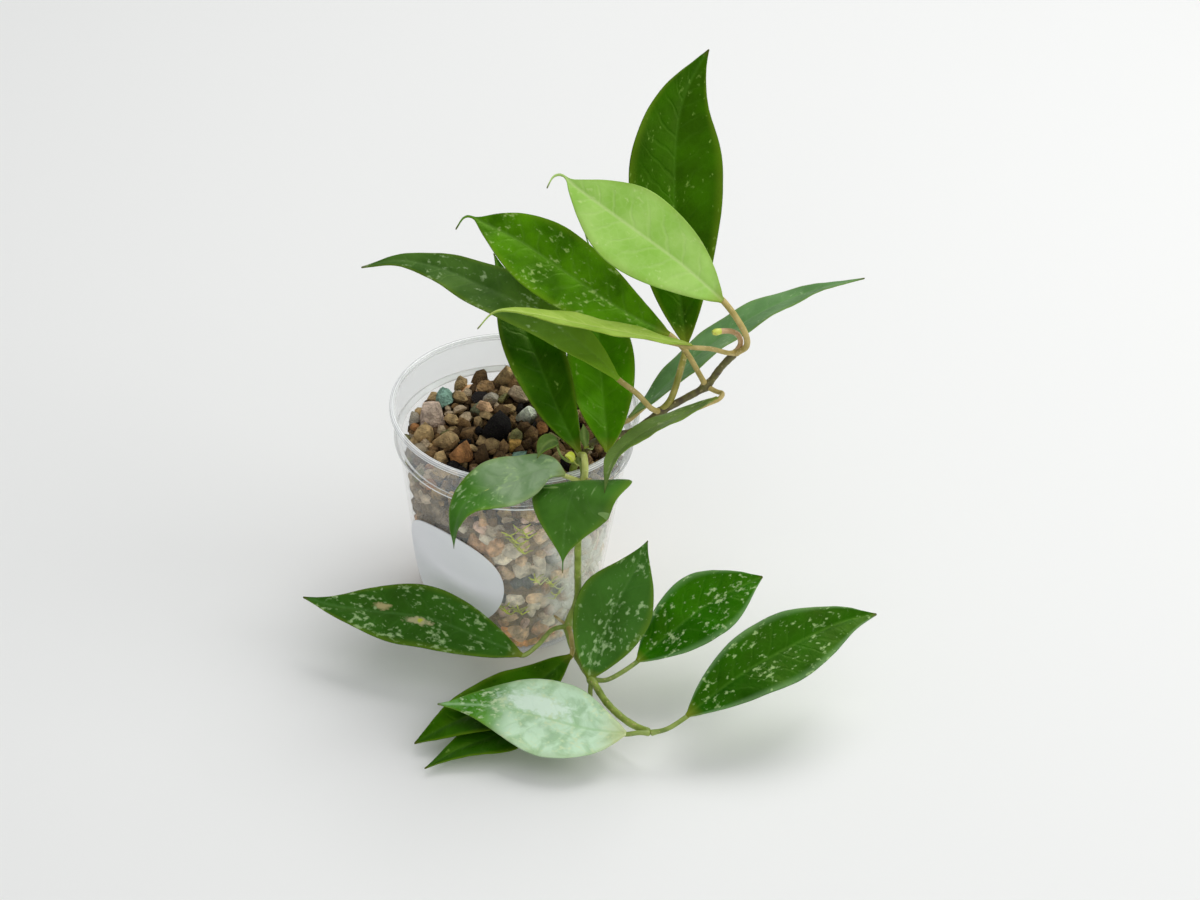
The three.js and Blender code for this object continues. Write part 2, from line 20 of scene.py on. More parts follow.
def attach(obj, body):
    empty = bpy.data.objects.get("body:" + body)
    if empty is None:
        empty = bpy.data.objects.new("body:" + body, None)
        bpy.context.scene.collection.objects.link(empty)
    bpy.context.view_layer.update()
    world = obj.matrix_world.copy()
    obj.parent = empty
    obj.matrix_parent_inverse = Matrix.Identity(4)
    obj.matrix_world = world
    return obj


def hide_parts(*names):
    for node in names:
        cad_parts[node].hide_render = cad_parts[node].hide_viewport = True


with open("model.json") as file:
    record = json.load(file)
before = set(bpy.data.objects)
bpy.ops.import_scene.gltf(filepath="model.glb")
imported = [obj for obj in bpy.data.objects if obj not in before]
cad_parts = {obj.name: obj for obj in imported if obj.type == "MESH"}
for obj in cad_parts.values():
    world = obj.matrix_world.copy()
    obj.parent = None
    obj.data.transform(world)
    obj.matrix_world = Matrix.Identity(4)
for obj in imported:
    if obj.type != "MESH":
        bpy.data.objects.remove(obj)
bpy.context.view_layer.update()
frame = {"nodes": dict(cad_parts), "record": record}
print("CAD nodes:", len(frame["nodes"]))

# %% [markdown]
# ## Small helpers
# Colours are picked as sRGB hex values, and a shader wants linear numbers, so one function
# turns them. One adds a node to a material, and two more take up what most materials share:
# colours laid over each other, and a colour and bump that go to the shader. Two turn a bmesh into
# a mesh and put an object into the scene. The last one makes a finished bmesh a piece that rides
# on the frame and stands for its CAD node.

# %% Colours, nodes and finished pieces
MM = 0.001
SHARP_ANGLE = math.radians(38)


def linear(hex_code):
    """An sRGB hex colour as the linear colour of a shader socket."""
    shares = [int(hex_code[i:i + 2], 16) / 255 for i in (1, 3, 5)]
    bright = [c / 12.92 if c <= 0.04045 else ((c + 0.055) / 1.055) ** 2.4 for c in shares]
    return (*bright, 1.0)


def wire(value, socket):
    """Links another node's output to a socket, or sets the socket to a plain value."""
    if isinstance(value, bpy.types.NodeSocket):
        socket.id_data.links.new(value, socket)
    else:
        socket.default_value = value


def node(tree, kind, inputs=(), out=0, **settings):
    """Adds a node and returns one of its outputs. Its inputs are named, or they are a list in
    the node's own order."""
    made = tree.nodes.new("ShaderNode" + kind)
    for name, value in settings.items():
        setattr(made, name, value)
    for name, value in inputs.items() if isinstance(inputs, dict) else enumerate(inputs):
        wire(value, made.inputs[name])
    return made.outputs[out]


def new_material(name, **sockets):
    """A material with one Principled shader. Returns it, a function that adds a node to it, and
    the shader's inputs."""
    material = bpy.data.materials.new(name)
    material.use_nodes = True
    shader = material.node_tree.nodes["Principled BSDF"].inputs
    for socket, value in sockets.items():
        wire(value, shader[socket.replace("_", " ")])
    return material, partial(node, material.node_tree), shader


def painted(add, ground, layers):
    """Lays colours over a ground colour. Each layer is its share and its colour."""
    for share, colour in layers:
        ground = add("Mix", {0: share, 6: ground, 7: linear(colour)}, out=2, data_type="RGBA")
    return ground


def surface(add, shader, colour, height, strength, depth):
    """Gives the shader its colour, and a bump of that depth in mm."""
    bump = add("Bump", {"Height": height, "Strength": strength, "Distance": depth * MM})
    wire(colour, shader["Base Color"])
    wire(bump, shader["Normal"])


def mesh_of(name, bm):
    """The mesh of a bmesh, which is freed."""
    mesh = bpy.data.meshes.new(name)
    bm.to_mesh(mesh)
    bm.free()
    return mesh


def placed(name, data):
    """A new object of the scene with that mesh, light or camera."""
    made = bpy.data.objects.new(name, data)
    bpy.context.scene.collection.objects.link(made)
    return made


def finish_piece(name, bm, materials, slot_name, node_name, sharp=SHARP_ANGLE):
    """Turns a bmesh in millimetres into a piece in metres that replaces a CAD node."""
    bmesh.ops.scale(bm, vec=(MM, MM, MM), verts=bm.verts)
    for face in bm.faces:
        face.smooth = True
    mesh = mesh_of(name, bm)
    mesh.set_sharp_from_angle(angle=sharp)
    for material in materials:
        mesh.materials.append(material)
    piece = placed(name, mesh)
    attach(piece, "root")
    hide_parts(node_name)
    size = [round(1000 * side) for side in piece.dimensions]
    print(f"{name}: {len(mesh.polygons)} faces, {size} mm")
    return piece

# %% [markdown]
# ## Camera, light and floor
# The picture is taken from in front and above, about 37 degrees down, with a long lens. The
# light is soft daylight from high at the back right. An area light there gives the broad sheen
# on the leaves that lie flat, while the leaves that face the viewer stay dark and saturated. One
# sun lamp would give hard shadows, which the soft picture doesn't have. A wide light on the
# right, one overhead, a weak one in front and a pale sky fill the shadows.

# %% Camera
CAMERA_PLACE = Vector((27.8, -755.9, 636.9)) * MM
CAMERA_RIGHT = Vector((0.99868, 0.03100, 0.04086))
CAMERA_UP = Vector((-0.05129, 0.60366, 0.79559))
LENS = 88.4

camera_data = bpy.data.cameras.new("camera")
camera_data.lens = LENS
camera_data.sensor_width = 36
camera = placed("camera", camera_data)
camera_axes = Matrix((CAMERA_RIGHT, CAMERA_UP, CAMERA_RIGHT.cross(CAMERA_UP))).transposed()
camera.matrix_world = Matrix.Translation(CAMERA_PLACE) @ camera_axes.to_4x4()
bpy.context.scene.camera = camera

# %% Lights and floor
PLANT_MIDDLE = Vector((20, 0, 60)) * MM


def soft_light(name, place, size, power):
    """A square area light, in metres and watts, that looks at the middle of the plant."""
    data = bpy.data.lights.new(name, "AREA")
    data.size = size
    data.energy = power
    light = placed(name, data)
    light.location = place
    light.rotation_euler = (PLANT_MIDDLE - place).to_track_quat("-Z", "Y").to_euler()


soft_light("window_light", Vector((0.35, 0.5, 1.15)), 0.8, 9)
soft_light("side_light", Vector((1.6, -0.2, 0.9)), 1.2, 8)
soft_light("overhead_light", Vector((0.5, -0.8, 1.9)), 1.8, 7)
soft_light("front_fill", Vector((-0.1, -1.6, 0.6)), 1.1, 4.4)

sky = bpy.data.worlds.new("pale_sky")
sky.use_nodes = True
sky.node_tree.nodes["Background"].inputs["Color"].default_value = linear("#eef1f4")
sky.node_tree.nodes["Background"].inputs["Strength"].default_value = 0.38
bpy.context.scene.world = sky
bpy.context.scene.view_settings.view_transform = "Standard"

floor_material, _, _ = new_material(
    "pale_matt_floor", Base_Color=linear("#ededeb"), Roughness=0.75, Specular_IOR_Level=0.2
)
bm = bmesh.new()
bmesh.ops.create_circle(bm, cap_ends=True, segments=96, radius=6)
floor = placed("floor", mesh_of("floor", bm))
floor.data.materials.append(floor_material)

# %% [markdown]
# ## The clear pot
# The pot is thin polypropylene, injection moulded: see-through but milky, with a soft gloss.
# Its wall steps out at a ledge into a collar, and ends in a rolled lip. It is a turned shape, so
# a half profile is spun round the Z axis. The steps get small round edges with a bevel, since
# it is these edges that catch the bright lines of the rim. Real refraction would be slow and
# noisy through so many thin walls, so the plastic is a white gloss that is partly see-through:
# more so on the thin wall, less on the collar, the lip and the edges. The drain holes are cut by
# a Boolean that is applied at once.

# %% The pot's profile, spun and bevelled
LEDGE_HEIGHT = 66.2
LEDGE_RADIUS = 37.1
BASE_RADIUS = 29
WALL = 0.9
POT_STEPS = 96
POT_PROFILE = [
    (0, 0), (28.3, 0), (29, 0.7), (37.1, 66.2), (38.5, 67.1), (38.52, 67.7), (38.9, 77.9),
    (39.7, 78.1), (40, 78.5), (40, 79.5), (39.6, 80), (38.9, 80), (38.4, 79.6), (38, 78.6),
    (37.7, 68.1), (36.2, 67.2), (28.5, 1.5), (28.1, 1.2), (0, 1.2),
]
EDGE_ROUNDING = 0.22
EDGE_ANGLE = math.radians(22)
WALL_FLOOR = 2
DRAIN_HOLES = 6
DRAIN_RADIUS = 3
DRAIN_CIRCLE = 18
DRAIN_CUT = 6


def wall_radius(height):
    """The outer radius of the tapered wall at a height."""
    return BASE_RADIUS + (LEDGE_RADIUS - BASE_RADIUS) * height / LEDGE_HEIGHT


def spun_profile(profile, steps):
    """A closed body of revolution from a half profile of (radius, height) points."""
    bm = bmesh.new()
    points = [bm.verts.new((radius, 0, height)) for radius, height in profile]
    edges = [bm.edges.new(pair) for pair in zip(points, points[1:])]
    bmesh.ops.spin(
        bm, geom=points + edges, cent=(0, 0, 0), axis=(0, 0, 1), angle=2 * math.pi,
        steps=steps, use_merge=True,
    )
    bmesh.ops.remove_doubles(bm, verts=bm.verts, dist=0.0005)
    bmesh.ops.recalc_face_normals(bm, faces=bm.faces)
    return bm


pot_bm = spun_profile(POT_PROFILE, POT_STEPS)
corners = [edge for edge in pot_bm.edges if edge.calc_face_angle(0) > EDGE_ANGLE]
rounded = bmesh.ops.bevel(
    pot_bm, geom=corners, offset=EDGE_ROUNDING, offset_type="OFFSET", affect="EDGES",
    segments=2, profile=0.5, material=-1, clamp_overlap=True,
)["faces"]
print("pot:", len(pot_bm.faces), "faces, rounded edges:", len(corners))

# %% The pot's finish, and its drain holes
# The wall is thin and lets most light through. The collar is thicker, and the rolled lip is
# thicker still. Rounded edges and the ledge gather the light that travels inside the plastic,
# so they are the brightest lines of the pot. Each finish: its colour and its alpha.
FROSTED = {
    "wall": ("#f4f5f2", 0.1), "collar": ("#dfe5e8", 0.17), "edge": ("#fbfcfc", 0.8),
    "lip": ("#f6f8f8", 0.4),
}
THIN_WALL, THICK_COLLAR, BRIGHT_EDGE, ROLLED_LIP = range(len(FROSTED))
# Painted light: the wall is whiter and less see-through on its lit right side, most towards the
# middle of the band, for the light that the frosted plastic catches there:
# how far each step reaches from that middle, in degrees, and its alpha
LIT_SIDE_STEPS = [(34, 0.14), (27, 0.18), (20, 0.22)]
LIT_SIDE_MIDDLE = -24
FLOW_LINES = 14
COLLAR_FOOT = 65.4
LEDGE_TOP = 67.7
LIP_FOOT = 78


def polypropylene(name, colour, alpha):
    """Natural polypropylene is milky by itself: a constant alpha over a whitish base gives the
    veil over what is behind, and a low roughness keeps crisp bright lines on the edges."""
    material, add, shader = new_material(name, Roughness=0.14, IOR=1.49, Alpha=alpha)
    place = add("TexCoord", out="Object")
    flow = add("TexNoise", {"Vector": place, "Scale": 1 / (FLOW_LINES * MM), "Detail": 1})
    surface(add, shader, linear(colour), flow, 0.5, 0.25)
    return material


# Painted light: the last finishes are whiter copies of the wall for its lit right side
pot_finishes = [
    polypropylene("frosted_polypropylene_" + part, *look) for part, look in FROSTED.items()
] + [
    polypropylene(f"lit_side_polypropylene_{round(100 * alpha)}", "#fafbf4", alpha)
    for _, alpha in LIT_SIDE_STEPS
]


def pot_finish(centre):
    """The index of the finish that a face of the pot wears."""
    if centre.z > LIP_FOOT:
        return ROLLED_LIP
    if centre.z > COLLAR_FOOT:
        return THICK_COLLAR if centre.z > LEDGE_TOP else BRIGHT_EDGE
    # Painted light: faces on the lit right side of the wall get the whiter finishes
    off = abs(math.degrees(math.atan2(centre.y, centre.x)) - LIT_SIDE_MIDDLE)
    steps = sum(off < reach for reach, _ in LIT_SIDE_STEPS)
    return ROLLED_LIP + steps if steps and centre.z > WALL_FLOOR else THIN_WALL


for face in pot_bm.faces:
    face.material_index = pot_finish(face.calc_center_median())
for face in rounded:
    if face.calc_center_median().z > COLLAR_FOOT:
        face.material_index = BRIGHT_EDGE


def cut_holes(piece, holes_bm):
    """Cuts holes out of a piece and keeps the result as its mesh."""
    bmesh.ops.scale(holes_bm, vec=(MM, MM, MM), verts=holes_bm.verts)
    mesh = mesh_of("holes", holes_bm)
    cutter = placed("holes", mesh)
    boolean = piece.modifiers.new("holes", "BOOLEAN")
    boolean.object = cutter
    boolean.solver = "EXACT"
    graph = bpy.context.evaluated_depsgraph_get()
    piece.data = bpy.data.meshes.new_from_object(piece.evaluated_get(graph))
    piece.modifiers.clear()
    bpy.data.objects.remove(cutter)
    bpy.data.meshes.remove(mesh)


holes_bm = bmesh.new()
for i in range(DRAIN_HOLES):
    turn = Matrix.Rotation(2 * math.pi * i / DRAIN_HOLES, 4, "Z")
    bmesh.ops.create_cone(
        holes_bm, cap_ends=True, segments=24, radius1=DRAIN_RADIUS, radius2=DRAIN_RADIUS,
        depth=DRAIN_CUT, matrix=turn @ Matrix.Translation((DRAIN_CIRCLE, 0, 0)),
    )
clear_pot = finish_piece("clear_pot", pot_bm, pot_finishes, "clear_plastic", "pot")
cut_holes(clear_pot, holes_bm)

# %% [markdown]
# ## The round paper label
# A 40 mm paper sticker is glued on the wall, left of the middle. A flat disc is made by spinning
# a radius, so that it has rings of faces to bend, and each of its points is then moved onto the
# tapered wall. A Solidify modifier would thicken it too, but the operator keeps the thickness in
# the mesh. The paper is bare: cool white, matt, with a faint fibre.

# %% Label
LABEL_RADIUS = 20
LABEL_HEIGHT = 30
LABEL_TURN = math.radians(-36)
LABEL_RINGS = 10
LABEL_STEPS = 72
LABEL_LIFT = 0.3
LABEL_THICKNESS = 0.35
FIBRE_SIZE = 0.5
PAPER_CLOUD_SIZE = 11


def on_circle(radius, turn, height):
    """The place at a radius and a turn about the pot's axis, and at a height."""
    return Vector((radius * math.cos(turn), radius * math.sin(turn), height))


label_bm = spun_profile(
    [(LABEL_RADIUS * i / LABEL_RINGS, 0) for i in range(LABEL_RINGS + 1)], LABEL_STEPS
)
for vert in label_bm.verts:
    height = LABEL_HEIGHT + vert.co.y
    turn = LABEL_TURN - math.pi / 2 + vert.co.x / wall_radius(LABEL_HEIGHT)
    vert.co = on_circle(wall_radius(height) + LABEL_LIFT, turn, height)
bmesh.ops.recalc_face_normals(label_bm, faces=label_bm.faces)
bmesh.ops.solidify(label_bm, geom=label_bm.faces, thickness=LABEL_THICKNESS)
bmesh.ops.recalc_face_normals(label_bm, faces=label_bm.faces)

# Coated sticker paper is nearly white and quite matt, with a fine felt of fibres
sticker_paper, add, shader = new_material("coated_sticker_paper", Roughness=0.55)
place = add("TexCoord", out="Object")
fibres, cloud = (
    add("TexNoise", {"Vector": place, "Scale": 1 / (size * MM), "Detail": detail})
    for size, detail in ((FIBRE_SIZE, 3), (PAPER_CLOUD_SIZE, 1))
)
paper = painted(add, linear("#f0f2f6"), [(cloud, "#fafbfd")])
surface(add, shader, paper, fibres, 0.3, 0.06)
finish_piece("paper_label", label_bm, [sticker_paper], "sticker_paper", "label")

# %% [markdown]
# ## Paths and tubes
# Stems, stalks, roots and moss strands are all round tubes along a smooth path. The path is the
# same centripetal curve as in the CAD model, walked in even steps, so that the piece lies where
# its solid is. The tube starts as one circle, and its ring is extruded from place to place. A
# curve object with a bevel would be shorter to write, but a ring can change its width at a knot.

# %% Smooth paths
CURVE_STEPS = 300


def curve_point(points, share):
    """A point of the smooth curve through the points, at a share of its spans."""
    last = len(points) - 1
    span = min(int(share * last), last - 1)
    t = share * last - span
    start, end = points[span], points[span + 1]
    before = points[span - 1] if span > 0 else 2 * start - end
    after = points[span + 2] if span + 2 <= last else 2 * end - start
    g0, g1, g2 = (math.sqrt((b - a).length) for a, b in
                  ((before, start), (start, end), (end, after)))
    leave = ((start - before) / g0 - (end - before) / (g0 + g1) + (end - start) / g1) * g1
    arrive = ((end - start) / g1 - (after - start) / (g1 + g2) + (after - end) / g2) * g1
    return (
        start * (2 * t ** 3 - 3 * t ** 2 + 1) + leave * (t ** 3 - 2 * t ** 2 + t)
        + end * (3 * t ** 2 - 2 * t ** 3) + arrive * (t ** 3 - t ** 2)
    )


def even_path(points, count):
    """Points at even distances along the smooth curve, and the curve's length."""
    points = [Vector(point) for point in points]
    curve = [curve_point(points, i / CURVE_STEPS) for i in range(CURVE_STEPS + 1)]
    walked = [0.0]
    for a, b in zip(curve, curve[1:]):
        walked.append(walked[-1] + (b - a).length)
    path = []
    k = 0
    for i in range(count + 1):
        target = walked[-1] * i / count
        while k < CURVE_STEPS - 1 and walked[k + 1] < target:
            k += 1
        path.append(curve[k].lerp(curve[k + 1], (target - walked[k]) / (walked[k + 1] - walked[k])))
    return path, walked[-1]


def directions(path):
    """The direction of a path at each of its points."""
    last = len(path) - 1
    return [(path[min(i + 1, last)] - path[max(i - 1, 0)]).normalized() for i in range(last + 1)]


# %% Tubes
def sweep(bm, path, radii, sides):
    """A closed round tube along a path, grown from one circle."""
    ring = bmesh.ops.create_circle(bm, cap_ends=True, segments=sides, radius=1)["verts"]
    edges = list({edge for vert in ring for edge in vert.link_edges})
    standing = Matrix.Identity(4)
    side = Vector((0, 0, 1)).cross(path[1] - path[0])
    if side.length < 1e-3:
        side = Vector((1, 0, 0))
    for i, (place, forward) in enumerate(zip(path, directions(path))):
        side = (side - forward * side.dot(forward)).normalized()
        if i > 0:
            grown = bmesh.ops.extrude_edge_only(bm, edges=edges)["geom"]
            ring = [item for item in grown if isinstance(item, bmesh.types.BMVert)]
            edges = [item for item in grown if isinstance(item, bmesh.types.BMEdge)
                     and item.verts[0] in ring and item.verts[1] in ring]
        axes = Matrix((side, forward.cross(side), forward)).transposed().to_4x4()
        wanted = Matrix.Translation(place) @ axes @ Matrix.Scale(radii[i], 4)
        bmesh.ops.transform(bm, matrix=wanted @ standing.inverted(), verts=ring)
        standing = wanted
    bmesh.ops.edgeloop_fill(bm, edges=edges)


def rounded_end(radii, count=3):
    """Draws the last rings of a tube in, so that it ends round."""
    for i in range(count):
        radii[-1 - i] *= math.sqrt(1 - ((count - i - 0.4) / count) ** 2)
    return radii


# %% [markdown]
# ## The gravel
# The pot is filled with coarse pumice, lava and bark-coloured stones of 3 to 12 mm, which show
# on top and all round through the wall. A sculpted stone would look finer, but there are over a
# thousand of them. Each is the hull of a few random points, which gives the broken facets of
# crushed stone at the cost of a few dozen faces: many points for the round ones behind the wall,
# few points and worn edges for those on top. Twenty such shapes are turned, stretched and tinted
# again and again from a fixed seed. The large stones that one would recognise are placed one by
# one, and a core of fines with a cap of dark soil fills the gaps.

# %% Stone shapes
STONE_SEED = 11
STONE_SHAPES = 10
WALL_STONE_POINTS = 30
TOP_STONE_POINTS = 13
STONE_WEAR = 0.16
STONE_BUMPS = (0.82, 1.08)
STONE_LUMPS = 0.05

chance = random.Random(STONE_SEED)


def random_way():
    """A random direction."""
    return Vector((chance.gauss(0, 1), chance.gauss(0, 1), chance.gauss(0, 1))).normalized()


def stone_shape(points, wear):
    """An angular stone of radius 1: the hull of random points, with worn edges if wanted."""
    bm = bmesh.new()
    for _ in range(points):
        bm.verts.new(random_way() * chance.uniform(*STONE_BUMPS))
    bmesh.ops.convex_hull(bm, input=bm.verts)
    inside = [vert for vert in bm.verts if not vert.link_faces]
    bmesh.ops.delete(bm, geom=inside, context="VERTS")
    if wear:
        bmesh.ops.subdivide_edges(bm, edges=bm.edges, cuts=1, use_grid_fill=True)
        bmesh.ops.smooth_vert(
            bm, verts=bm.verts, factor=wear, use_axis_x=True, use_axis_y=True, use_axis_z=True
        )
        for vert in bm.verts:
            vert.co *= 1 + chance.uniform(-STONE_LUMPS, STONE_LUMPS)
    return mesh_of("stone_shape", bm)


plain_stones = [stone_shape(WALL_STONE_POINTS, 0) for _ in range(STONE_SHAPES)]
worn_stones = [stone_shape(TOP_STONE_POINTS, STONE_WEAR) for _ in range(STONE_SHAPES)]
print("stone shapes:", [len(mesh.polygons) for mesh in plain_stones + worn_stones])

# %% Placing a stone, and its colours
STONE_TINTS = {
    # On top
    "pumice": "#b09c80", "pink": "#c6b09e", "tan": "#a88e64", "brown": "#7f6442",
    "dark": "#5a452c", "rust": "#9a6c42", "ochre": "#b8904f", "teal": "#7d9f8f",
    "sage": "#848a6c", "mint": "#d6dbc6", "olive": "#77744a", "lava": "#191514",
    "grey": "#8a8375", "soil": "#33281b", "grit": "#5e4a33",
    # Behind the wall
    "fines": "#9a8868", "taupe": "#ab9a82", "dusk": "#94866f", "clay": "#cda67e",
    "umber": "#a08868", "stone": "#c6b69c", "rose": "#e2c2ac", "sand": "#e8caa2",
    "ivory": "#efe4ca", "honey": "#d8aa66", "orange": "#f3b676", "moss": "#ccd63e",
    "slate": "#6c716a", "root": "#e2d4b0",
}
TINT_JITTER = 0.2
STONE_BREADTHS = (0.75, 1)
STONE_FLATNESS = (0.6, 0.9)
GRAVEL_FOOT = 1.3
WALL_CLEARANCES = (0.15, 0.6)


def tinted(bm, tint):
    """Stores a tint, a little lighter or darker at random, on all of a small bmesh."""
    layer = bm.verts.layers.float_color.get("tint") or bm.verts.layers.float_color.new("tint")
    shade = 1 + chance.uniform(-TINT_JITTER, TINT_JITTER)
    red, green, blue, _ = linear(STONE_TINTS[tint])
    for vert in bm.verts:
        vert[layer] = (red * shade, green * shade, blue * shade, 1)
    return bm


def pour(heap, bm):
    """Moves a small bmesh into the heap, which is much faster than working in the heap."""
    mesh = mesh_of("poured", bm)
    heap.from_mesh(mesh)
    bpy.data.meshes.remove(mesh)


def held_in(bm, clearance):
    """Keeps a small bmesh inside the pot, at least that far from its wall."""
    for vert in bm.verts:
        reach = math.hypot(vert.co.x, vert.co.y)
        limit = wall_radius(vert.co.z) - WALL - clearance
        if reach > limit:
            vert.co.x *= limit / reach
            vert.co.y *= limit / reach
        vert.co.z = max(vert.co.z, GRAVEL_FOOT)
    return bm


def add_stone(heap, shape, centre, size, tint):
    """Adds a stone of about that radius. Size is one number, or three along its own axes."""
    bm = bmesh.new()
    bm.from_mesh(shape)
    if isinstance(size, tuple):
        form = Matrix.Diagonal((*size, 1))
    else:
        flat = chance.uniform(*STONE_FLATNESS)
        form = Matrix.Diagonal((size, size * chance.uniform(*STONE_BREADTHS), size * flat, 1))
        axis = random_way()
        form = Matrix.Rotation(chance.uniform(0, 2 * math.pi), 4, axis) @ form
    bmesh.ops.transform(bm, matrix=Matrix.Translation(centre) @ form, verts=bm.verts)
    pour(heap, tinted(held_in(bm, chance.uniform(*WALL_CLEARANCES)), tint))


# %% Dark core, and the stones along the wall
GRAVEL_EDGE = 62
GRAVEL_CROWN = 66.5
GRAVEL_SLOPE = 0.08
GRAVEL_INNER = wall_radius(GRAVEL_EDGE)
CORE_PROFILE = [(0, 1.4), (27.4, 1.4), (26.8, 5), (32, 54), (29, 58), (0, 58)]
CAP_PROFILE = [(0, 56), (30, 56), (34, 60.5), (32, 61.5), (0, 63.5)]
WALL_STONES = 440
WALL_FOOT = 2.2
WALL_STONE_SIZES = (2.2, 5.6)
WALL_STONE_SINK = 0.86
TURN_SPREAD = 0.06
MIX_SPREAD = 0.12
CORE_STEPS = 40
HEIGHT_SPREAD = 1.1
FOOT_TOP = 8
FOOT_STONES = 96
FOOT_STONE_SIZES = (1.3, 2.3)
FOOT_STONE_SINK = 0.8
FOOT_STONE_RISE = 0.7
SHADE_END = math.radians(-119)
GOLDEN_ANGLE = math.pi * (3 - math.sqrt(5))


def mix(**counts):
    """A list of tints to draw from, with each as often as its count."""
    return [tint for tint, count in counts.items() for _ in range(count)]


# Dull stones in the shade on the left, warm ones in front, and orange fines at the foot
SHADE_MIX = mix(taupe=5, dusk=3, clay=2, umber=1, stone=2)
WARM_MIX = mix(rose=7, sand=7, clay=4, ivory=5, stone=2, umber=2, honey=2, slate=2)
FOOT_MIX = mix(orange=5, sand=3, honey=2, ivory=1)


def gravel_height(x, y):
    """The height of the gravel's surface, highest in the middle and behind."""
    across = math.hypot(x, y) / GRAVEL_INNER
    return GRAVEL_CROWN + (GRAVEL_EDGE - GRAVEL_CROWN) * across ** 2 + GRAVEL_SLOPE * y


def wall_mix(turn, height):
    """The stones to choose from at a place on the wall. The turn is 0 on the right."""
    turn = math.remainder(turn + chance.gauss(0, MIX_SPREAD), 2 * math.pi)
    if height < FOOT_TOP:
        return FOOT_MIX
    return WARM_MIX if SHADE_END < turn < math.pi / 2 else SHADE_MIX


gravel_bm = tinted(spun_profile(CORE_PROFILE, CORE_STEPS), "fines")
cap_bm = spun_profile(CAP_PROFILE, CORE_STEPS)
for vert in cap_bm.verts:
    vert.co.z += GRAVEL_SLOPE * vert.co.y
pour(gravel_bm, tinted(cap_bm, "soil"))

for i in range(WALL_STONES):
    share = (i + 0.5) / WALL_STONES
    turn = i * GOLDEN_ANGLE + chance.gauss(0, TURN_SPREAD)
    even_height = WALL_FOOT + (GRAVEL_EDGE - WALL_FOOT) * share
    height = min(max(even_height + chance.gauss(0, HEIGHT_SPREAD), WALL_FOOT), GRAVEL_EDGE)
    size = chance.uniform(*WALL_STONE_SIZES)
    inward = wall_radius(height) - WALL - WALL_STONE_SINK * size
    rise = height + GRAVEL_SLOPE * inward * math.sin(turn) * share
    centre = on_circle(inward, turn, rise)
    tint = chance.choice(wall_mix(turn, height))
    add_stone(gravel_bm, chance.choice(plain_stones), centre, size, tint)
for i in range(FOOT_STONES):
    size = chance.uniform(*FOOT_STONE_SIZES)
    turn = 2 * math.pi * i / FOOT_STONES
    height = GRAVEL_FOOT + FOOT_STONE_RISE * size
    inward = wall_radius(height) - WALL - FOOT_STONE_SINK * size
    centre = on_circle(inward, turn, height)
    add_stone(gravel_bm, chance.choice(plain_stones), centre, size, chance.choice(FOOT_MIX))
print("with the wall stones:", len(gravel_bm.faces), "faces")

# %% The stones on top
# Each large stone: its middle in mm seen from above, its half sizes, and its tint
LARGE_STONES = [
    ((-27.4, 10.7), (4.5, 4.4, 4.2), "pink"), ((-23.5, 18.6), (3.3, 3.4, 3.6), "teal"),
    ((-18.4, 19.1), (2.9, 2.8, 3), "tan"), ((-12.3, 18.9), (3, 2.8, 2.6), "lava"),
    ((-11, 25.2), (2.8, 2.7, 3), "brown"), ((-5.4, 29.5), (4.4, 3.9, 5.6), "tan"),
    ((-0.9, 28), (3, 3, 4), "brown"), ((1.6, 19.7), (4.3, 3.9, 4.2), "pumice"),
    ((2.8, 9), (3.9, 3.6, 3.8), "mint"), ((-6.4, 2.4), (4.9, 5.4, 5), "lava"),
    ((-9.8, 12.6), (3, 3, 3.2), "clay"), ((-13.1, 13), (2.6, 2.4, 2.6), "sage"),
    ((-29.9, 1.3), (3.6, 3.8, 3.6), "tan"), ((-22.5, -3.8), (5.2, 4, 3.8), "tan"),
    ((-16.2, -9.5), (3.8, 4.2, 4.4), "rust"), ((-9.7, -10.4), (2.3, 2.8, 4.6), "dark"),
    ((-15, 1.3), (3, 2.9, 3), "brown"), ((0.1, -0.8), (2.5, 2.5, 2.8), "olive"),
    ((8.8, 3.7), (2.2, 2.2, 2.4), "rust"), ((1.9, -10.1), (3, 3, 3.4), "teal"),
    ((7.9, -4.4), (2.8, 2.6, 2.6), "brown"), ((-3.6, -13.6), (2.8, 2.6, 2.6), "ochre"),
    ((5.8, 0.7), (2.6, 2.6, 2.8), "brown"), ((9.9, 7.5), (3.4, 3.4, 3.2), "dark"),
    ((-32, -1.5), (2.3, 2.3, 2.4), "tan"), ((-20.1, 7), (2.8, 2.7, 2.8), "tan"),
]
LARGE_GROWTH = 1.28
LARGE_ROOM = 0.8
TOP_STONES = 270
TOP_STONE_SIZES = (1.9, 4.0)
TOP_STONE_RISE = 0.3
TOP_STONE_DEPTHS = (-0.2, 1.0)
TOP_ROOM = 0.2
TOP_SPREAD = 0.7
GRIT_STONES = 420
GRIT_SIZES = (1.2, 2.3)
GRIT_DEPTHS = (0.8, 1.8)
GRIT_SPREAD = 0.6
EDGE_ROOM = 1.5
TOP_MIX = mix(brown=9, tan=8, dark=5, pumice=4, lava=2, rust=1, olive=2, grey=1, ochre=1)
GRIT_MIX = mix(grit=3, brown=3, dark=3, tan=1)


def spread_places(count, spread):
    """Places all over the top of the gravel, at even distances but out of step."""
    for i in range(count):
        reach = (GRAVEL_INNER - EDGE_ROOM) * math.sqrt((i + 0.5) / count)
        turn = i * GOLDEN_ANGLE
        yield (reach * math.cos(turn) + chance.uniform(-spread, spread),
               reach * math.sin(turn) + chance.uniform(-spread, spread))


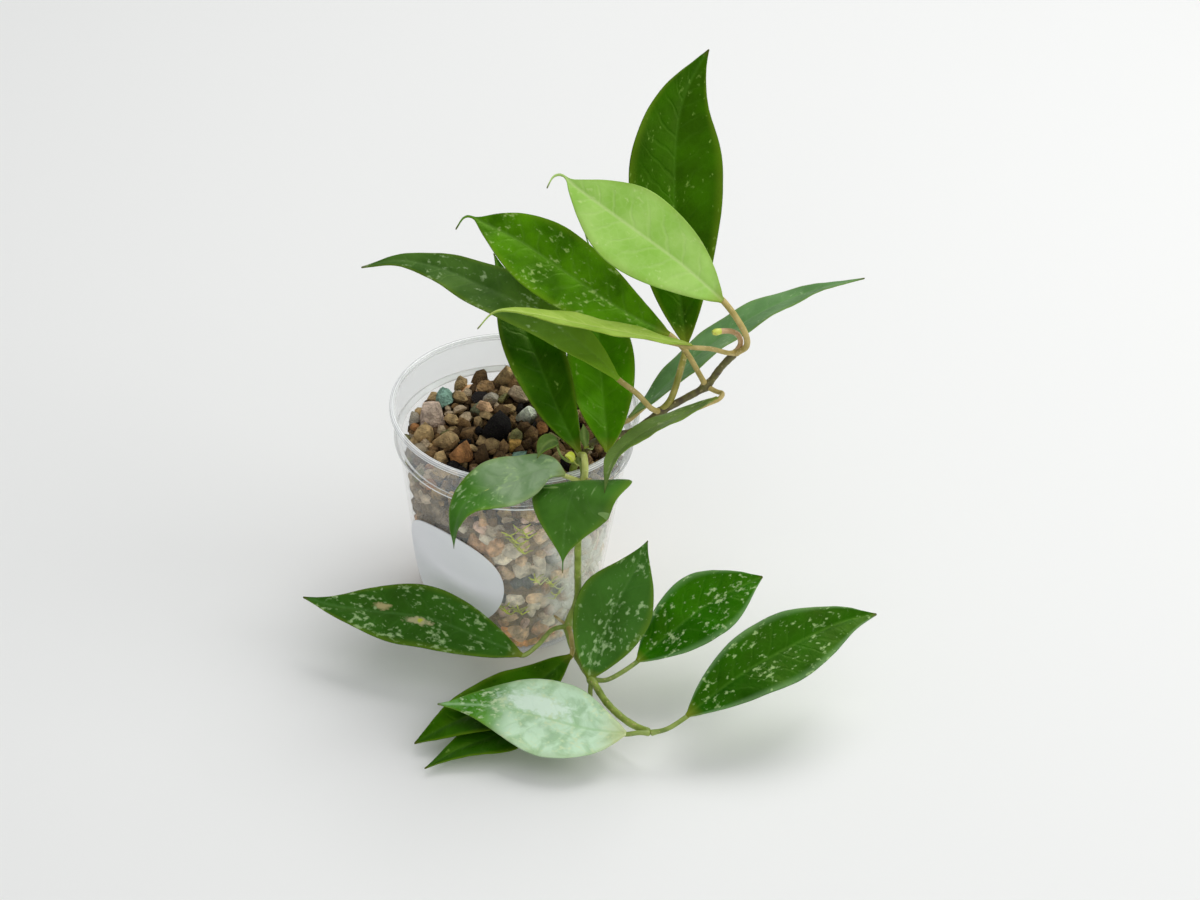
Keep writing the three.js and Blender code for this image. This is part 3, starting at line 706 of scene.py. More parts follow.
for (x, y), size, tint in LARGE_STONES:
    size = tuple(LARGE_GROWTH * side for side in size)
    centre = Vector((x, y, gravel_height(x, y) + TOP_STONE_RISE * size[2]))
    add_stone(gravel_bm, chance.choice(worn_stones), centre, size, tint)
for x, y in spread_places(TOP_STONES, TOP_SPREAD):
    size = chance.uniform(*TOP_STONE_SIZES)
    if any(math.hypot(x - a, y - b) < LARGE_ROOM * max(sides) + TOP_ROOM * size
           for (a, b), sides, _ in LARGE_STONES):
        continue
    rise = TOP_STONE_RISE * size - chance.uniform(*TOP_STONE_DEPTHS)
    centre = Vector((x, y, gravel_height(x, y) + rise))
    add_stone(gravel_bm, chance.choice(worn_stones), centre, size, chance.choice(TOP_MIX))
# Small grit lies deeper and fills the gaps between them
for x, y in spread_places(GRIT_STONES, GRIT_SPREAD):
    size = chance.uniform(*GRIT_SIZES)
    centre = Vector((x, y, gravel_height(x, y) - chance.uniform(*GRIT_DEPTHS)))
    add_stone(gravel_bm, chance.choice(plain_stones), centre, size, chance.choice(GRIT_MIX))
for shape in plain_stones + worn_stones:
    bpy.data.meshes.remove(shape)
print("with the top stones:", len(gravel_bm.faces), "faces")

# %% Thin roots and sprigs of moss behind the wall
ROOTS = 9
ROOT_RADIUS = 0.32
ROOT_HEIGHTS = (24, 60)
ROOT_STEPS = 6
ROOT_TURN = 0.11
ROOT_DROP = (-5, 0)
STRAND_SIDES = 5
MOSS_SPRIGS = 9
MOSS_RADIUS = 0.26
MOSS_HEIGHTS = (16, 54)
MOSS_LEANS = (0.02, 0.05)
MOSS_RISES = (1.1, 1.9)
MOSS_MIDDLE = math.radians(-66)
MOSS_SPREAD = math.radians(24)
TWIGS = 6
TWIG_RADIUS = 0.8 * MOSS_RADIUS
# How far a twig turns and rises to its middle and to its end
TWIG_REACH = [(0.045, (0.4, 1.8)), (0.08, (1, 3))]


def strand(points, radius, tint):
    """A thin strand inside the wall, through places that are a turn and a height."""
    places = []
    for turn, height in points:
        reach = wall_radius(height) - WALL - radius - WALL_CLEARANCES[0]
        places.append(on_circle(reach, turn, height))
    path, _ = even_path(places, 3 * len(places))
    bm = bmesh.new()
    sweep(bm, path, rounded_end([radius] * len(path)), STRAND_SIDES)
    pour(gravel_bm, tinted(bm, tint))


for _ in range(ROOTS):
    places = [(chance.uniform(-math.pi, math.pi), chance.uniform(*ROOT_HEIGHTS))]
    for _ in range(ROOT_STEPS):
        turn, height = places[-1]
        turn += chance.uniform(-ROOT_TURN, ROOT_TURN)
        places.append((turn, height + chance.uniform(*ROOT_DROP)))
    strand(places, ROOT_RADIUS, "root")
for _ in range(MOSS_SPRIGS):
    turn = MOSS_MIDDLE + chance.uniform(-MOSS_SPREAD, MOSS_SPREAD)
    lean = chance.choice((-1, 1)) * chance.uniform(*MOSS_LEANS)
    foot = chance.uniform(*MOSS_HEIGHTS)
    stem = [(turn + lean * i, foot + chance.uniform(*MOSS_RISES) * i) for i in range(4)]
    strand(stem, MOSS_RADIUS, "moss")
    for i in range(TWIGS):
        turn, height = stem[i // 2]
        way = 1 if i % 2 else -1
        twig = [(turn + step * way, height + chance.uniform(*rise)) for step, rise in TWIG_REACH]
        strand([(turn, height), *twig], TWIG_RADIUS, "moss")
print("whole gravel:", len(gravel_bm.faces), "faces")

# %% The stones' finish
PORE_SIZE = 0.7
MOTTLE_SIZE = 2.4
DRIFT_SIZE = 6
DRIFT_REACH = 16
STONE_SHARP_ANGLE = math.radians(55)
# The painted light on the right of the wall starts and is full at these places, in mm along an axis
# (0 is X, 1 is Y, 2 is Z)
PAINTED_LIGHT_BOUNDS = [(0, 8, 22), (1, 11, -5), (2, 61, 58)]

# Crushed pumice and lava are dull and full of small pores. A mottled tint and a bump of pores
# under a high roughness give the eye that dry crumbly look.
crushed_stone, add, shader = new_material(
    "crushed_pumice_and_lava", Roughness=0.92, Specular_IOR_Level=0.25
)
place = add("TexCoord", out="Object")
tint = add("Attribute", out="Color", attribute_name="tint")
mottle, drift = (
    add("TexNoise", {"Vector": place, "Scale": 1 / (size * MM), "Detail": detail})
    for size, detail in ((MOTTLE_SIZE, 4), (DRIFT_SIZE, 3))
)
pores = add("TexVoronoi", {"Vector": place, "Scale": 1 / (PORE_SIZE * MM)})
light_share = add("MapRange", [mottle, 0.3, 0.7, 0.55, 1.55])
pore_shade = add("MapRange", [pores, 0.05, 0.3, 0.65, 1])
shade = add("Math", [light_share, pore_shade], operation="MULTIPLY")
shaded = add("VectorMath", {0: tint, "Scale": shade}, operation="SCALE")
# Painted light: a pale green-white laid over the stones behind the lit right side of the wall, for
# the light that the frosted plastic catches there
ragged = add("VectorMath", [drift.node.outputs["Color"], (DRIFT_REACH * MM,) * 3, place],
             operation="MULTIPLY_ADD")
axes = add("SeparateXYZ", [ragged]).node.outputs
painted_light_share = add("MapRange", [drift, 0.36, 0.54, 0.3, 0.97])
for axis, *bounds in PAINTED_LIGHT_BOUNDS:
    start, end = ((bound + DRIFT_REACH / 2) * MM for bound in bounds)
    band = add("MapRange", [axes[axis], start, end], interpolation_type="SMOOTHSTEP")
    painted_light_share = add("Math", [painted_light_share, band], operation="MULTIPLY")
relief = add("Math", [pores, 0.8, mottle], operation="MULTIPLY_ADD")
surface(add, shader, painted(add, shaded, [(painted_light_share, "#fbfcf3")]), relief, 0.9, 0.5)
finish_piece(
    "loose_gravel", gravel_bm, [crushed_stone], "gravel", "gravel", STONE_SHARP_ANGLE
)

# %% [markdown]
# ## The two stems
# The upper stem has turned woody and brown, and ends in a curled tip with a bud. The lower one
# is still green and trails in front. Both swell into knots where the leaves sit. A skin modifier
# could join stem and knots too, but its widths are hard to steer. Here each stem is one tube
# whose radius rises near a knot, so stem and knot are one skin, as in the plant.

# %% Stem routes
KNOTS = {
    "rimBack": (31, -15.5, 81.2),
    "upperFirst": (46, -14, 90),
    "upperSecond": (59.8, -10.5, 98.5),
    "upperThird": (68, -9.6, 111),
    "rimFront": (23.3, -38, 79.3),
    "lowerFirst": (20.4, -34.7, 18),
    "lowerSecond": (29, -55, 13.5),
    "lowerThird": (47.9, -77.9, 13),
}
UPPER_STEM = [
    (22.5, -10.5, 52), (22.5, -11.5, 68), (25, -14.5, 76.5), KNOTS["rimBack"], (37, -14.6, 82),
    (41, -14.8, 85.5), KNOTS["upperFirst"], (53.2, -11.8, 94), KNOTS["upperSecond"],
    (64.3, -9.4, 105.5), KNOTS["upperThird"],
]
GROWING_TIP = [
    KNOTS["upperThird"], (69.4, -10.4, 115), (68.6, -11.3, 118.8), (66.2, -12.4, 121),
    (63.3, -13.4, 121.6), (60.4, -14.5, 121.6),
]
LOWER_STEM = [
    (19.5, -18, 52), (19.5, -18.5, 68), (21, -24, 77), (22.3, -31.5, 82.1), (23.2, -36, 82.1),
    KNOTS["rimFront"], (23.2, -38.4, 72), (22.4, -36.8, 58), (22.7, -34.6, 42),
    (22.9, -33.6, 28), KNOTS["lowerFirst"], (22, -40.4, 15), (25.6, -48.2, 13.5),
    KNOTS["lowerSecond"], (34.4, -65.5, 13), (41, -72.8, 12.5), KNOTS["lowerThird"],
]
AERIAL_ROOTS = [
    [KNOTS["lowerFirst"], (17.6, -34.6, 20.4), (15.8, -34.8, 22.2)],
    [KNOTS["rimFront"], (25.2, -39.8, 82), (26.6, -40.6, 81)],
]
STEM_RADIUS = 1.15
KNOT_SWELLING = 0.6
KNOT_LENGTH = 1.5
STEM_SIDES = 12
STEM_STEP = 0.8
TIP_RADIUS = 0.85
TIP_STEPS = 20
BUD_STEPS = 2.2
BUD_SWELLING = 0.55
BUD_START = 63.2
AERIAL_ROOT_RADIUS = 0.5
AERIAL_ROOT_STEPS = 8
AERIAL_ROOT_SIDES = 8


def stem_tube(bm, points, knots, radius=STEM_RADIUS):
    """A stem that swells smoothly at its knots and is a little uneven in between."""
    _, length = even_path(points, 1)
    path, _ = even_path(points, round(length / STEM_STEP))
    radii = []
    for i, place in enumerate(path):
        swelling = sum(
            math.exp(-((place - Vector(KNOTS[knot])).length / KNOT_LENGTH) ** 2) for knot in knots
        )
        uneven = 0.04 * math.sin(0.9 * i) + 0.03 * math.sin(2.3 * i)
        radii.append(radius * (1 + uneven) + KNOT_SWELLING * swelling)
    sweep(bm, path, rounded_end(radii), STEM_SIDES)
    return length


# %% Stem finishes
CORK_SPACING = 1.6


def stem_material(name, dark, light, scar, streak_size, roughness):
    """Bark or green skin: streaky along the stem, with small corky spots."""
    material, add, shader = new_material(name, Roughness=roughness)
    place = add("TexCoord", out="Object")
    streaks = add("TexNoise", {"Vector": place, "Scale": 1 / (streak_size * MM), "Detail": 4})
    share = add("MapRange", [streaks, 0.36, 0.62])
    cork = add("TexVoronoi", {"Vector": place, "Scale": 1 / (CORK_SPACING * MM)})
    spots = add("MapRange", [cork, 0.16, 0.24, 0.75, 0])
    relief = add("Math", [spots, 0.6, streaks], operation="MULTIPLY_ADD")
    skin = painted(add, linear(dark), [(share, light), (spots, scar)])
    surface(add, shader, skin, relief, 0.6, 0.25)
    return material


# Young bark is smooth, olive brown and slightly shiny, with pale corky dots
woody_bark = stem_material("young_woody_bark", "#4b3e26", "#6d6a35", "#9a8c63", 3, 0.5)
# A green stem is waxy, with brown flushed patches
green_skin = stem_material("waxy_green_stem", "#73882a", "#98ac4c", "#b4ae6c", 4.5, 0.4)
# New growth is soft, shiny and yellow-green
tip_skin = stem_material("flushed_tip_skin", "#b08e5c", "#cdaa80", "#d8bc94", 3, 0.4)
new_growth = stem_material("soft_new_growth", "#b7c53a", "#d2da5c", "#c6b34a", 3, 0.35)
cork_root = stem_material("corky_aerial_root", "#a08a5c", "#c9b98c", "#e2d8b8", 2, 0.8)

# %% Grow the stems
upper_bm = bmesh.new()
upper_length = stem_tube(
    upper_bm, UPPER_STEM, ["rimBack", "upperFirst", "upperSecond", "upperThird"]
)
woody_faces = set(upper_bm.faces)
tip_path, tip_length = even_path(GROWING_TIP, TIP_STEPS)
tip_radii = [
    TIP_RADIUS + BUD_SWELLING * math.exp(-((TIP_STEPS - i) / BUD_STEPS) ** 2)
    for i in range(TIP_STEPS + 1)
]
sweep(upper_bm, tip_path, rounded_end(tip_radii), STEM_SIDES)
for face in upper_bm.faces:
    if face not in woody_faces:
        face.material_index = 2 if face.calc_center_median().x < BUD_START else 1
bmesh.ops.recalc_face_normals(upper_bm, faces=upper_bm.faces)
finish_piece(
    "climbing_stem", upper_bm, [woody_bark, tip_skin, new_growth], "woody_stem", "upper_stem"
)

lower_bm = bmesh.new()
lower_length = stem_tube(
    lower_bm, LOWER_STEM, ["rimFront", "lowerFirst", "lowerSecond", "lowerThird"]
)
green_faces = set(lower_bm.faces)
for points in AERIAL_ROOTS:
    path, _ = even_path(points, AERIAL_ROOT_STEPS)
    sweep(lower_bm, path, rounded_end([AERIAL_ROOT_RADIUS] * len(path)), AERIAL_ROOT_SIDES)
for face in lower_bm.faces:
    face.material_index = 0 if face in green_faces else 1
bmesh.ops.recalc_face_normals(lower_bm, faces=lower_bm.faces)
finish_piece("trailing_stem", lower_bm, [green_skin, cork_root], "green_stem", "lower_stem")
print(f"upper stem {upper_length:.0f} mm, its tip {tip_length:.0f} mm, lower {lower_length:.0f} mm")

# %% [markdown]
# ## The leaves
# A hoya leaf is thick, leathery and narrow, with a pointed tip and a pale midrib. Each blade
# starts as a flat grid. Its rows are walked along the leaf's midrib curve and its columns reach
# out to the margin, folded up a little along the midrib, exactly as in the CAD solid. On top of
# that come the things only the finer piece has: the sunk midrib, low quilting between the side
# veins and a slightly wavy margin. The grid also carries a UV map in real size, so that veins
# and flecks keep their scale on leaves of any length. Then the blade gets its thickness, and
# the stalk is swept into it and runs on under the blade as the midrib's ridge.

# %% Leaf shapes
# What a leaf wears, where it starts (a knot or a place), the places its stalk and its midrib go
# through, its width and the share of its length where it is widest, the way its upper side faces
# at the base and at the tip (only one where they are the same), and its fold in degrees. The
# point runs from 0, a round tip, to 1, a drawn out one. The drip is the share of the length that
# is a narrow drip tip, and a stout leaf has a thicker stalk.
Leaf = namedtuple(
    "Leaf", "skin stalk_skin start stalk midrib width widest faces fold point drip stout",
    defaults=(0.5, 0, 1),
)
LEAVES = {
    "upper_leaf_1": Leaf(
        "deep", "olive", "upperFirst", [(49, -12.5, 94), (51.5, -7.5, 101.5)],
        [(53, -1.5, 107.5), (50, 9, 121), (48, 19, 133), (46.5, 37, 154.5), (48, 47, 166.5),
         (52.5, 54.5, 175), (55.5, 58, 179.5)],
        31, 0.56, [(0.05, -0.8, 0.6), (0.3, -0.7, 0.6)], 10, point=0.3, stout=1.4),
    "upper_leaf_2": Leaf(
        "young", "tan", "upperThird", [(71.2, -12.2, 115.5), (70.6, -13, 120.5), (67, -11, 125.8)],
        [(63, -7.5, 129), (50, -2.5, 138), (37, 2, 145.3), (24.5, 6.5, 152), (15.5, 10.5, 156.5),
         (12, 13, 158.5), (9.5, 13, 158), (7.5, 10.5, 155)],
        26, 0.5, [(-0.1, -0.75, 0.6), (-0.2, -0.7, 0.65)], 6, point=0, drip=0.13, stout=1.3),
    "upper_leaf_3": Leaf(
        "flecked", "tan", "upperSecond", [(57.5, -10.8, 103), (53, -8.4, 109.5)],
        [(47.5, -5.5, 114), (35, -0.5, 117), (22, 6, 121.5), (10.5, 12, 126), (-1, 18, 130.3),
         (-12, 23, 132.8), (-18, 25, 134), (-21, 22.5, 130.5)],
        24, 0.54, [(-0.2, -0.6, 0.78), (-0.1, -0.6, 0.8)], 12, point=-0.2, drip=0.1, stout=1.15),
    "upper_leaf_4": Leaf(
        "greyed", "tan", "upperFirst", [(43, -16.2, 93), (38.5, -14.5, 97)],
        [(32.5, -12, 100.5), (25.5, -6.5, 104.5), (15.5, 0.5, 108.5), (3.5, 7, 112.5),
         (-12.5, 14.5, 115), (-25.5, 20.5, 116.5), (-38.5, 24, 116.5), (-51, 23.5, 113.5)],
        17, 0.48, [(-0.2, -0.5, 0.85), (-0.1, -0.35, 0.93)], 10, stout=1.15),
    "upper_leaf_5": Leaf(
        "olive", "tan", "upperThird", [(65.5, -12.6, 113), (60, -14, 115.2)],
        [(54.5, -14.5, 116.5), (38, -15.5, 120), (19.5, -17.5, 124.5), (4.5, -18.5, 128),
         (-6, -20, 129), (-11, -24.5, 125.5)],
        21, 0.45, [(-0.15, 0.35, 0.93), (-0.1, 0.3, 0.93)], 4, drip=0.08),
    "upper_leaf_6": Leaf(
        "plain", "tan", "rimBack", [(33.5, -12.4, 83)],
        [(36.5, -9.5, 84), (46, -2.5, 90), (55, 6, 95.5), (65.5, 13, 101.5), (79.5, 21, 107.5),
         (95.5, 28.5, 111), (110, 33.5, 112.5)],
        21, 0.5, [(-0.3, 0.25, 0.92), (-0.15, 0.3, 0.93)], 6),
    "upper_leaf_7": Leaf(
        "grey", "tan", "upperSecond", [(63, -13, 98.4), (65, -15.4, 99.4)],
        [(63.5, -17.5, 99.5), (55, -23, 98), (45.5, -29, 96.3), (38.5, -35, 95.2),
         (33.5, -42, 94.8), (31, -49.2, 94), (30, -57, 90.8)],
        12.5, 0.5, [(-0.2, 0.33, 0.9), (-0.7, -0.1, 0.7)], 5),
    "middle_leaf_1": Leaf(
        "deep", "pale", "rimFront", [(23.6, -37.8, 84.4), (23, -33, 85.6), (22.2, -28.5, 82.6)],
        [(21.5, -24.5, 80.5), (13.5, -12, 88.5), (5.5, 3, 98.5), (-3, 20, 107.5),
         (-9.5, 34, 114.5)],
        19, 0.5, [(0.1, -0.55, 0.8), (0, -0.6, 0.8)], 12, stout=1.35),
    "middle_leaf_2": Leaf(
        "glossy", "pale", "rimBack", [(30.4, -19.6, 81.4)],
        [(30, -24, 81), (29.5, -17, 84), (28, -7, 88.5), (26, 7.5, 97.5), (24, 24.5, 108.5),
         (22, 35, 114.5), (19.5, 42, 118.5)],
        22, 0.4, [(0.05, -0.55, 0.83), (0.1, -0.6, 0.8)], 10, drip=0.08),
    "rim_leaf_1": Leaf(
        "clouded", "pale", "rimFront", [],
        [(17.5, -39, 82.9), (12, -38.4, 84.4), (3.5, -41.4, 82.4), (-5.5, -45.2, 80.5),
         (-12.5, -50.5, 78.5), (-15, -55, 73.5), (-15, -58.5, 67.5)],
        19, 0.42, [(0, -0.2, 1), (-0.75, -0.55, 0.25)], 4),
    "rim_leaf_2": Leaf(
        "shaded", "pale", "rimFront", [(23.3, -40.8, 80.4)],
        [(23.4, -41.8, 81.4), (22.4, -44.8, 85.2), (21, -49.1, 86.6), (19, -54.1, 82),
         (18.2, -58.6, 73.7), (18.4, -62, 63)],
        36.5, 0.25, [(-0.1, 0.7, 0.7), (-0.25, -0.8, 0.6)], -4, point=1.2),
    "lower_leaf_1": Leaf(
        "splashed", "green", "lowerFirst", [(15.5, -38.8, 19.6), (11, -46, 18.8)],
        [(6.5, -50.5, 18.5), (-7.5, -46, 21), (-23.5, -40.5, 23), (-43, -38, 23),
         (-56, -36.5, 23.5), (-65, -33.5, 23.5)],
        21.5, 0.5, [(-0.05, -0.5, 0.87)], 6),
    "lower_leaf_2": Leaf(
        "deep", "tan", "lowerFirst", [(21.4, -38.8, 18.6), (22, -43, 17.8)],
        [(22, -46.5, 16), (11, -57, 12.5), (-3, -65.8, 9.4), (-15, -73.2, 8.2),
         (-25.5, -78.4, 4)],
        19, 0.5, [(-0.1, -0.3, 0.95)], 8, point=0.1),
    "lower_leaf_3": Leaf(
        "dull", "green", "lowerSecond", [],
        [(28, -55.5, 14.5), (31, -48.5, 22.5), (35, -41, 32), (40, -34, 40), (44.5, -26.5, 48.5)],
        25, 0.5, [(-0.05, -0.75, 0.65)], 6),
    "lower_leaf_4": Leaf(
        "bright", "green", "lowerSecond", [(33.5, -56, 14.6), (38.5, -54, 16.6)],
        [(43, -51, 19), (53, -44, 25), (63, -36.5, 30), (74, -30.5, 34), (82, -26.5, 36)],
        24, 0.56, [(-0.15, -0.45, 0.88)], 6, point=0.1),
    "lower_leaf_5": Leaf(
        "lush", "green", "lowerThird", [(53, -77.4, 14.6)],
        [(59, -74.5, 18), (75.5, -63, 26), (92, -53, 31), (107, -45, 34.5), (118, -41, 35)],
        24.5, 0.52, [(-0.1, -0.42, 0.9), (-0.1, -0.4, 0.9)], 6, point=0.2),
    "lower_leaf_6": Leaf(
        "silver", "green", "lowerThird", [(44.5, -78.4, 13.4)],
        [(40.5, -78.5, 13), (29, -77, 12.5), (15, -74, 13.5), (-1, -71, 14.5), (-19, -70, 13.5)],
        28, 0.4, [(0, -0.3, 0.95)], 3, point=0.6),
    "lower_leaf_7": Leaf(
        "deep", "green", "lowerSecond", [(28.6, -57.2, 11.4)],
        [(28.5, -59, 10), (15, -66, 8), (-0.5, -75, 6), (-12.5, -82, 5), (-21.5, -88.5, 3)],
        19, 0.45, [(0, 0, 1)], 3),
    "folded_leaf": Leaf(
        "sprout", "green", (21.9, -29.9, 81.2), [(18.6, -31.8, 82.2), (15.8, -31.4, 84.2)],
        [(14.9, -30, 86.4), (13.8, -29.2, 88.2), (11.9, -31, 88.9), (10.2, -33.6, 88.4),
         (8.8, -36.2, 86.6)],
        6, 0.5, [(0.8, 0.2, 0.4), (-0.3, 0.2, 0.9)], 8),
    "young_leaf": Leaf(
        "fresh", "pale", (22.6, -33.6, 82.1), [(20.6, -34.4, 83.4)],
        [(19.9, -34.6, 85.2), (18.9, -34.8, 86.7), (17, -35.4, 87.4)],
        3.2, 0.5, [(0.6, -0.6, 0.6), (0, -0.3, 1)], 8),
    "sprout_leaf": Leaf(
        "sprout", "green", (24.6, -14, 75.4), [(25.6, -20, 79.5), (25, -25, 82.4)],
        [(23.6, -26.6, 84.4), (22.9, -24.9, 86.6), (22.2, -20.7, 88.8)],
        3.2, 0.5, [(0, -0.8, 0.3), (0, -0.8, 0.5)], 8),
}
print("leaves:", len(LEAVES))

# %% The blade
BLADE_ROWS = 46
BLADE_COLUMNS = 14
BLADE_THICKNESS = 0.6
BASE_NECK = 0.8
TIP_NECK = 0.15
BASE_ROUNDNESS = 0.8
COLUMN_CROWDING = 1.3
VEIN_SPACING = 6.5
VEIN_LEAN = 0.9
QUILT_DEPTH = 0.1
RIB_DEPTH = 0.25
RIB_WIDTH = 0.9
RIPPLE_DEPTH = 0.35
RIPPLE_LENGTH = 19
# Quilting, rib and ripple fade out where the blade reaches less far than this
QUILT_REACH, RIB_REACH, RIPPLE_REACH = 3, 4, 6
UV_UNIT = 100
UV_SHIFT = 1.37


def half_width(leaf, along):
    """Half the width of a leaf at a place along it, from 0 at the base to 1 at the tip."""
    if along < leaf.widest:
        return leaf.width / 2 * math.sin(math.pi / 2 * along / leaf.widest) ** BASE_ROUNDNESS
    rest = min((along - leaf.widest) / (1 - leaf.drip - leaf.widest), 1)
    blunt = math.cos(math.pi / 2 * rest)
    drawn_out = (1 + math.cos(math.pi * rest)) / 2
    return leaf.width / 2 * (blunt + (drawn_out - blunt) * leaf.point)


def way_across(leaf, along, forward):
    """The direction across the blade at a place along it."""
    base_face, tip_face = Vector(leaf.faces[0]), Vector(leaf.faces[-1])
    return base_face.lerp(tip_face, along).cross(forward).normalized()


def relief(leaf, walked, off_middle, reach):
    """How far the blade rises at a place: quilting between veins, the sunk rib, the ripple."""
    vein_phase = 2 * math.pi * (walked - VEIN_LEAN * off_middle) / VEIN_SPACING
    quilt = QUILT_DEPTH * math.sin(vein_phase) * min(off_middle / QUILT_REACH, 1)
    rib = -RIB_DEPTH * math.exp(-(off_middle / RIB_WIDTH) ** 2) * min(reach / RIB_REACH, 1)
    ripple = RIPPLE_DEPTH * math.sin(2 * math.pi * walked / RIPPLE_LENGTH + leaf.width)
    return quilt + rib + ripple * (off_middle / reach) ** 3 * min(reach / RIPPLE_REACH, 1)


def blade(bm, leaf, number):
    """The thin blade, with a UV map in real size. Returns its midrib path."""
    layers = bm.verts.layers.float
    along_layer, edge_layer = layers.new("along"), layers.new("edge")
    width_layer = layers.new("off_middle")
    uv = bm.loops.layers.uv.new("blade")
    spine, length = even_path(leaf.midrib, CURVE_STEPS)
    forwards = directions(spine)
    fold = math.radians(leaf.fold)
    grid = bmesh.ops.create_grid(bm, x_segments=BLADE_ROWS, y_segments=BLADE_COLUMNS, size=1)
    for vert in grid["verts"]:
        even = (vert.co.x + 1) / 2
        along = 0.5 * even + 0.5 * (1 - math.cos(math.pi * even)) / 2
        across = math.copysign(abs(vert.co.y) ** COLUMN_CROWDING, vert.co.y)
        k = min(round(along * CURVE_STEPS), CURVE_STEPS)
        forward = forwards[k]
        side = way_across(leaf, along, forward)
        up = forward.cross(side)
        neck = BASE_NECK + (TIP_NECK - BASE_NECK) * along
        reach = max(half_width(leaf, along), neck)
        off_middle = reach * abs(across)
        rise = relief(leaf, along * length, off_middle, reach) + BLADE_THICKNESS / 2
        vert.co = (
            spine[k] + side * (reach * across * math.cos(fold))
            + up * (off_middle * math.sin(fold) + rise)
        )
        vert[along_layer], vert[edge_layer] = along, abs(across)
        vert[width_layer] = reach * across
    for face in bm.faces:
        for loop in face.loops:
            walked = loop.vert[along_layer] * length / UV_UNIT + UV_SHIFT * number
            loop[uv].uv = (walked, 0.5 + loop.vert[width_layer] / UV_UNIT)
    upper_side = list(bm.faces)
    under = bmesh.ops.solidify(bm, geom=upper_side, thickness=BLADE_THICKNESS)["geom"]
    for item in under:
        if isinstance(item, bmesh.types.BMFace):
            item.material_index = 1
    return spine, forwards


# %% The stalk and the ridge under the blade
STALK_RADIUS = 0.85
STALK_SWELLING = 0.35
RIDGE_SHARES = (0, 0.05, 0.12, 0.25, 0.4, 0.6, 0.8)
RIDGE_END = 0.2
RIDGE_SINK = 0.15
STALK_STEP = 0.9
STALK_LEAST_STEPS = 8
STALK_SIDES = 8
SWELLING_LENGTH = 1.6
SLIM_WIDTH = 12


def stalk(bm, leaf, spine, forwards):
    """The leaf's stalk, which runs on as a fading ridge under the midrib."""
    slim = min(leaf.width / SLIM_WIDTH, 1) * leaf.stout
    route = [KNOTS.get(leaf.start, leaf.start), *leaf.stalk]
    _, length = even_path([*route, leaf.midrib[0]], 1)
    for share in RIDGE_SHARES:
        k = round(share * CURVE_STEPS)
        side = way_across(leaf, share, forwards[k])
        drop = slim * (STALK_RADIUS * (1 - share) + RIDGE_END * share) - RIDGE_SINK
        route.append(spine[k] - forwards[k].cross(side) * drop)
    _, whole = even_path(route, 1)
    path, _ = even_path(route, max(round(whole / STALK_STEP), STALK_LEAST_STEPS))
    radii = []
    for i in range(len(path)):
        walked = whole * i / (len(path) - 1)
        swollen = STALK_SWELLING * math.exp(-(walked / SWELLING_LENGTH) ** 2)
        if walked < length:
            radii.append(slim * (STALK_RADIUS + swollen))
        else:
            fading = (walked - length) / (whole - length)
            radii.append(slim * (STALK_RADIUS * (1 - fading) ** 2 + RIDGE_END * fading))
    first = len(bm.faces)
    sweep(bm, path, rounded_end(radii), STALK_SIDES)
    bm.faces.ensure_lookup_table()
    for face in bm.faces[first:]:
        face.material_index = 2


# %% [markdown]
# ## The skin of a leaf
# The upper side is a waxy cuticle over green tissue: glossy, with pale side veins that lean
# towards the tip, a paler midrib and silvery flecks where air lies under the skin. All of it
# could be painted, but nodes that read the leaf's own UV map in millimetres keep the pattern
# sharp and at its real size. The veins are a repeated distance along a slanted coordinate, and
# the flecks are a noise drawn out along the leaf and gathered in clusters by a larger noise.
# Each feature is a share, and the shares lay their colours over each other. The underside is
# pale and matt, and has its own simpler finish.

# %% The veins, flecks and painted sheen of the upper side
FLECK_SIZE = 1.5
FLECK_STRETCH = 0.7
CLUSTER_SIZE = 9
CLOUD_SIZE = 13
PAINTED_SHEEN_BLOT_SIZE = 6
NET_SIZE = 2.4
BEND_SIZE = 9
BEND_REACH = 7
UNDERSIDE_CLOUD_SIZE = 5


def blade_map(add):
    """The blade's own UV map in millimetres."""
    uv = add("UVMap", uv_map="blade")
    return add("VectorMath", {0: uv, "Scale": UV_UNIT}, operation="SCALE")


def side_veins(add, flat, walked, off_middle, reach, edge):
    """Where the side veins run: near one of many slanted lines, bent a little by a noise."""
    bend = add("TexNoise", {"Vector": flat, "Scale": 1 / BEND_SIZE, "Detail": 2})
    half = add("Math", [off_middle, 0], operation="GREATER_THAN")
    shifted = add("Math", [half, VEIN_SPACING / 2, walked], operation="MULTIPLY_ADD")
    bent = add("Math", [bend, BEND_REACH, shifted], operation="MULTIPLY_ADD")
    slanted = add("Math", [reach, -VEIN_LEAN, bent], operation="MULTIPLY_ADD")
    away = add("Math", [slanted, VEIN_SPACING / 2], operation="PINGPONG")
    line = add("MapRange", [away, 0.1, 0.9, 1, 0], interpolation_type="SMOOTHSTEP")
    fading = add("MapRange", [edge, 0.4, 0.95, 1, 0])
    return add("Math", [line, fading], operation="MULTIPLY")


def silvery_flecks(add, flat, flecked):
    """A noise drawn out along the leaf, and the flecks: its peaks, gathered in clusters."""
    drawn_out = add("VectorMath", [flat, (FLECK_STRETCH, 1, 1)], operation="MULTIPLY")
    spots = add("TexNoise", {"Vector": drawn_out, "Scale": 1 / FLECK_SIZE, "Detail": 2,
                             "Roughness": 0.55})
    clusters = add("TexNoise", {"Vector": flat, "Scale": 1 / CLUSTER_SIZE, "Detail": 1})
    crowd = add("Math", [clusters, 0.6, spots], operation="MULTIPLY_ADD")
    full = 1.13 - 0.2 * flecked
    return spots, add("MapRange", [crowd, full - 0.2, full, 0, 0.8],
                      interpolation_type="SMOOTHSTEP")


